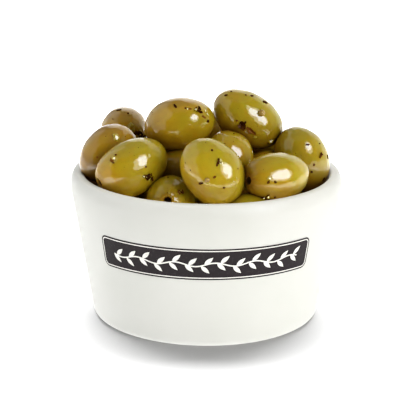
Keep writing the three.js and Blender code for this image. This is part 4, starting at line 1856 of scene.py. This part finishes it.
@dataclass
class Studio:
    """White table among white cards, one tall soft window light, and the camera.

    The window is three lamps in nearly one place: one that lights matt finishes, and
    two that are only mirrored, the sheen and, just before it, the brighter glint.
    """

    focal_length: float = 129.4
    sensor_width: float = 36.0
    roll: float = 0.61
    table_radius: float = 1100.0
    table_front: float = 250.0
    table_sides: int = 96
    table_white: float = 0.25
    grain_size: float = 1.2
    grain_tone: float = 0.01
    cards: tuple[Card, ...] = (
        Card(-140, -30, 57, 0.82),
        Card(-30, -15, 50, 0.34),
        Card(-15, 10, 50, 1.3),
        Card(10, 68, 52, 0.98),
        Card(68, 108, 50, 0.38),
    )
    dim_light: float = 0.05
    backdrop_light: float = 1.6
    edge_softness: float = 1.5
    ceiling: float = 57.0
    ceiling_light: float = 0.27
    lamps: tuple[Lamp, ...] = (
        Lamp("window_light", (44.0, 24.0, 900.0), (440.0, 600.0), 6.55,
             is_round=True, on_gloss=False, colour=(1.0, 0.98, 0.94)),
        Lamp("window_glint", GLINT_PLACE, (326.0, 447.0), 7.3,
             is_round=True, on_matt=False, colour=(0.66, 0.76, 1.0)),
        Lamp("window_sheen", (44.0, 24.0, 892.0), (490.0, 660.0), 3.2,
             is_round=True, on_matt=False, colour=(1.0, 0.98, 0.94)),
        Lamp("table_strip", (181.0, 69.0, 3000.0), (3400.0, 1900.0), 33.0, Lit.TABLE),
        Lamp("table_fill", (0.0, 90.0, 1000.0), (1500.0, 1500.0), 2.1, Lit.TABLE, through=True),
        Lamp("foot_fill", (8.0, -50.0, 100.0), (150.0, 30.0), 1.15, Lit.BOWL, through=True),
        Lamp("under_fill", (0.0, -90.0, 47.2), (120.0, 120.0), 0.88, Lit.BOWL,
             through=True, is_round=True),
        Lamp("lip_fill", (0.0, 76.0, 500.0), (600.0, 200.0), 4.0, Lit.BOWL),
        Lamp("inside_fill", (-160.0, 20.0, 22.0), (50.0, 12.0), 13.0, Lit.BOWL,
             through=True, spread=100.0),
        Lamp("front_apron", (0.0, 1.5, 300.0), (420.0, 100.0), 0.5, on_gloss=False),
        Lamp("near_card", (0.0, -90.0, 38.0), (460.0, 113.0), 1.25, Lit.REST,
             on_matt=False, forward=108.5),
    )

    def camera(self) -> None:
        """Sets up the camera, a little above the lip and turned slightly about its own axis."""
        data = bpy.data.cameras.new("camera")
        data.lens = self.focal_length
        data.sensor_width = self.sensor_width
        data.clip_start = 0.01
        data.clip_end = 20.0
        camera = bpy.data.objects.new("camera", data)
        camera.location = VIEWER * MM
        look = (Vector(TARGET) - VIEWER).to_track_quat("-Z", "Y").to_matrix()
        camera.rotation_euler = (look @ Matrix.Rotation(math.radians(self.roll), 3, "Z")).to_euler()
        bpy.context.scene.collection.objects.link(camera)
        bpy.context.scene.camera = camera

    def table(self) -> bpy.types.Object:
        """Lays the round white table top, whose front edge lies a little before the bowl.

        Returns:
            The table top.
        """
        radius = self.table_radius
        angles = np.linspace(0, 2 * math.pi, self.table_sides, endpoint=False)
        rim = np.stack([radius * np.cos(angles), radius - self.table_front + radius * np.sin(angles),
                        np.zeros_like(angles)], axis=1)
        gatherer = MeshGatherer()
        gatherer.add(rim, [tuple(range(len(rim)))])
        paper = Shader("white_table")
        white, grey = ((tone,) * 3 for tone in (self.table_white, self.table_white - self.grain_tone))
        paper.join(paper.mix(paper.noise(self.grain_size, detail=3.0), white, grey), "Base Color")
        paper.set(Roughness=0.9, Specular_IOR_Level=0.1)
        table = gatherer.to_object("table_top", paper.material, smooth=False)
        return table

    def surroundings(self) -> None:
        """Stands the white cards round the table, in a room that is dim overhead and behind the viewer."""
        world = bpy.data.worlds.new("cards")
        world.use_nodes = True
        bpy.context.scene.world = world
        nodes, links = world.node_tree.nodes, world.node_tree.links
        split = nodes.new("ShaderNodeSeparateXYZ")
        links.new(nodes.new("ShaderNodeTexCoord").outputs["Generated"], split.inputs[0])

        def calculate(operation: str, *values: bpy.types.NodeSocket | float) -> bpy.types.NodeSocket:
            """Does one step of arithmetic.

            Args:
                operation: The step's name.
                *values: The sockets or numbers that it takes.

            Returns:
                The socket of its result.
            """
            node = nodes.new("ShaderNodeMath")
            node.operation = operation
            for socket, value in zip(node.inputs, values):
                if isinstance(value, bpy.types.NodeSocket):
                    links.new(value, socket)
                else:
                    socket.default_value = value
            return node.outputs[0]

        def past(value: bpy.types.NodeSocket, degrees: float) -> bpy.types.NodeSocket:
            """Turns softly from 0 to 1 where an angle passes a limit.

            Args:
                value: The angle's socket, in radians.
                degrees: The limit.

            Returns:
                The socket of the share.
            """
            node = nodes.new("ShaderNodeMapRange")
            node.interpolation_type = "SMOOTHSTEP"
            links.new(value, node.inputs["Value"])
            node.inputs["From Min"].default_value = math.radians(degrees - self.edge_softness)
            node.inputs["From Max"].default_value = math.radians(degrees + self.edge_softness)
            return node.outputs["Result"]

        azimuth = calculate("ARCTAN2", split.outputs["X"], split.outputs["Y"])
        elevation = calculate("ARCSINE", split.outputs["Z"])
        overhead = calculate("MULTIPLY", past(elevation, self.ceiling), self.ceiling_light - self.dim_light)
        total = calculate("ADD", overhead, self.dim_light)
        for card in self.cards:
            across = calculate("SUBTRACT", past(azimuth, card.left), past(azimuth, card.right))
            under = calculate("SUBTRACT", 1.0, past(elevation, card.top))
            shown = calculate("MULTIPLY", across, under)
            total = calculate("ADD", total, calculate("MULTIPLY", shown, card.light - self.dim_light))
        seen = nodes.new("ShaderNodeLightPath").outputs["Is Camera Ray"]
        strength = calculate("MAXIMUM", total, calculate("MULTIPLY", seen, self.backdrop_light))
        links.new(strength, nodes["Background"].inputs["Strength"])
        nodes["Background"].inputs["Color"].default_value = (1.0, 1.0, 1.0, 1.0)

    def build(self, bowl: bpy.types.Object) -> None:
        """Sets the camera, table, lamps and cards round the bowl, and plain colour management.

        Args:
            bowl: The glazed bowl.
        """
        self.camera()
        table = self.table()
        for lamp in self.lamps:
            lamp.hang(table, bowl)
        self.surroundings()
        bpy.context.scene.view_settings.view_transform = "Standard"
        bpy.context.scene.view_settings.look = "Medium High Contrast"


# ---- assembly --------------------------------------------------------------------


def surface_tree(piece: bpy.types.Object) -> BVHTree:
    """Search tree of a piece's faces.

    Args:
        piece: An object at the world's origin.

    Returns:
        The tree, in millimetres.
    """
    mesh = piece.data
    points = [vertex.co / MM for vertex in mesh.vertices]
    return BVHTree.FromPolygons(points, [tuple(face.vertices) for face in mesh.polygons])


def report(pieces: Iterable[bpy.types.Object]) -> None:
    """Logs the name and the number of faces of each piece."""
    for piece in pieces:
        log.info("%s: %d faces", piece.name, len(piece.data.polygons))


def main() -> None:
    """Builds the studio, the bowl and everything in and on it."""
    logging.basicConfig(level=logging.INFO)
    bowl = Bowl()
    glazed_bowl = bowl.build()
    Studio().build(glazed_bowl)
    report([glazed_bowl, HeapCore(bowl).build()])
    heap = OliveHeap(bowl)
    olives = heap.build()
    report([olives])
    report(Seasoning(heap, surface_tree(olives)).build())
    report(PrintedPanel(bowl).build())


if __name__ == "__main__":
    main()
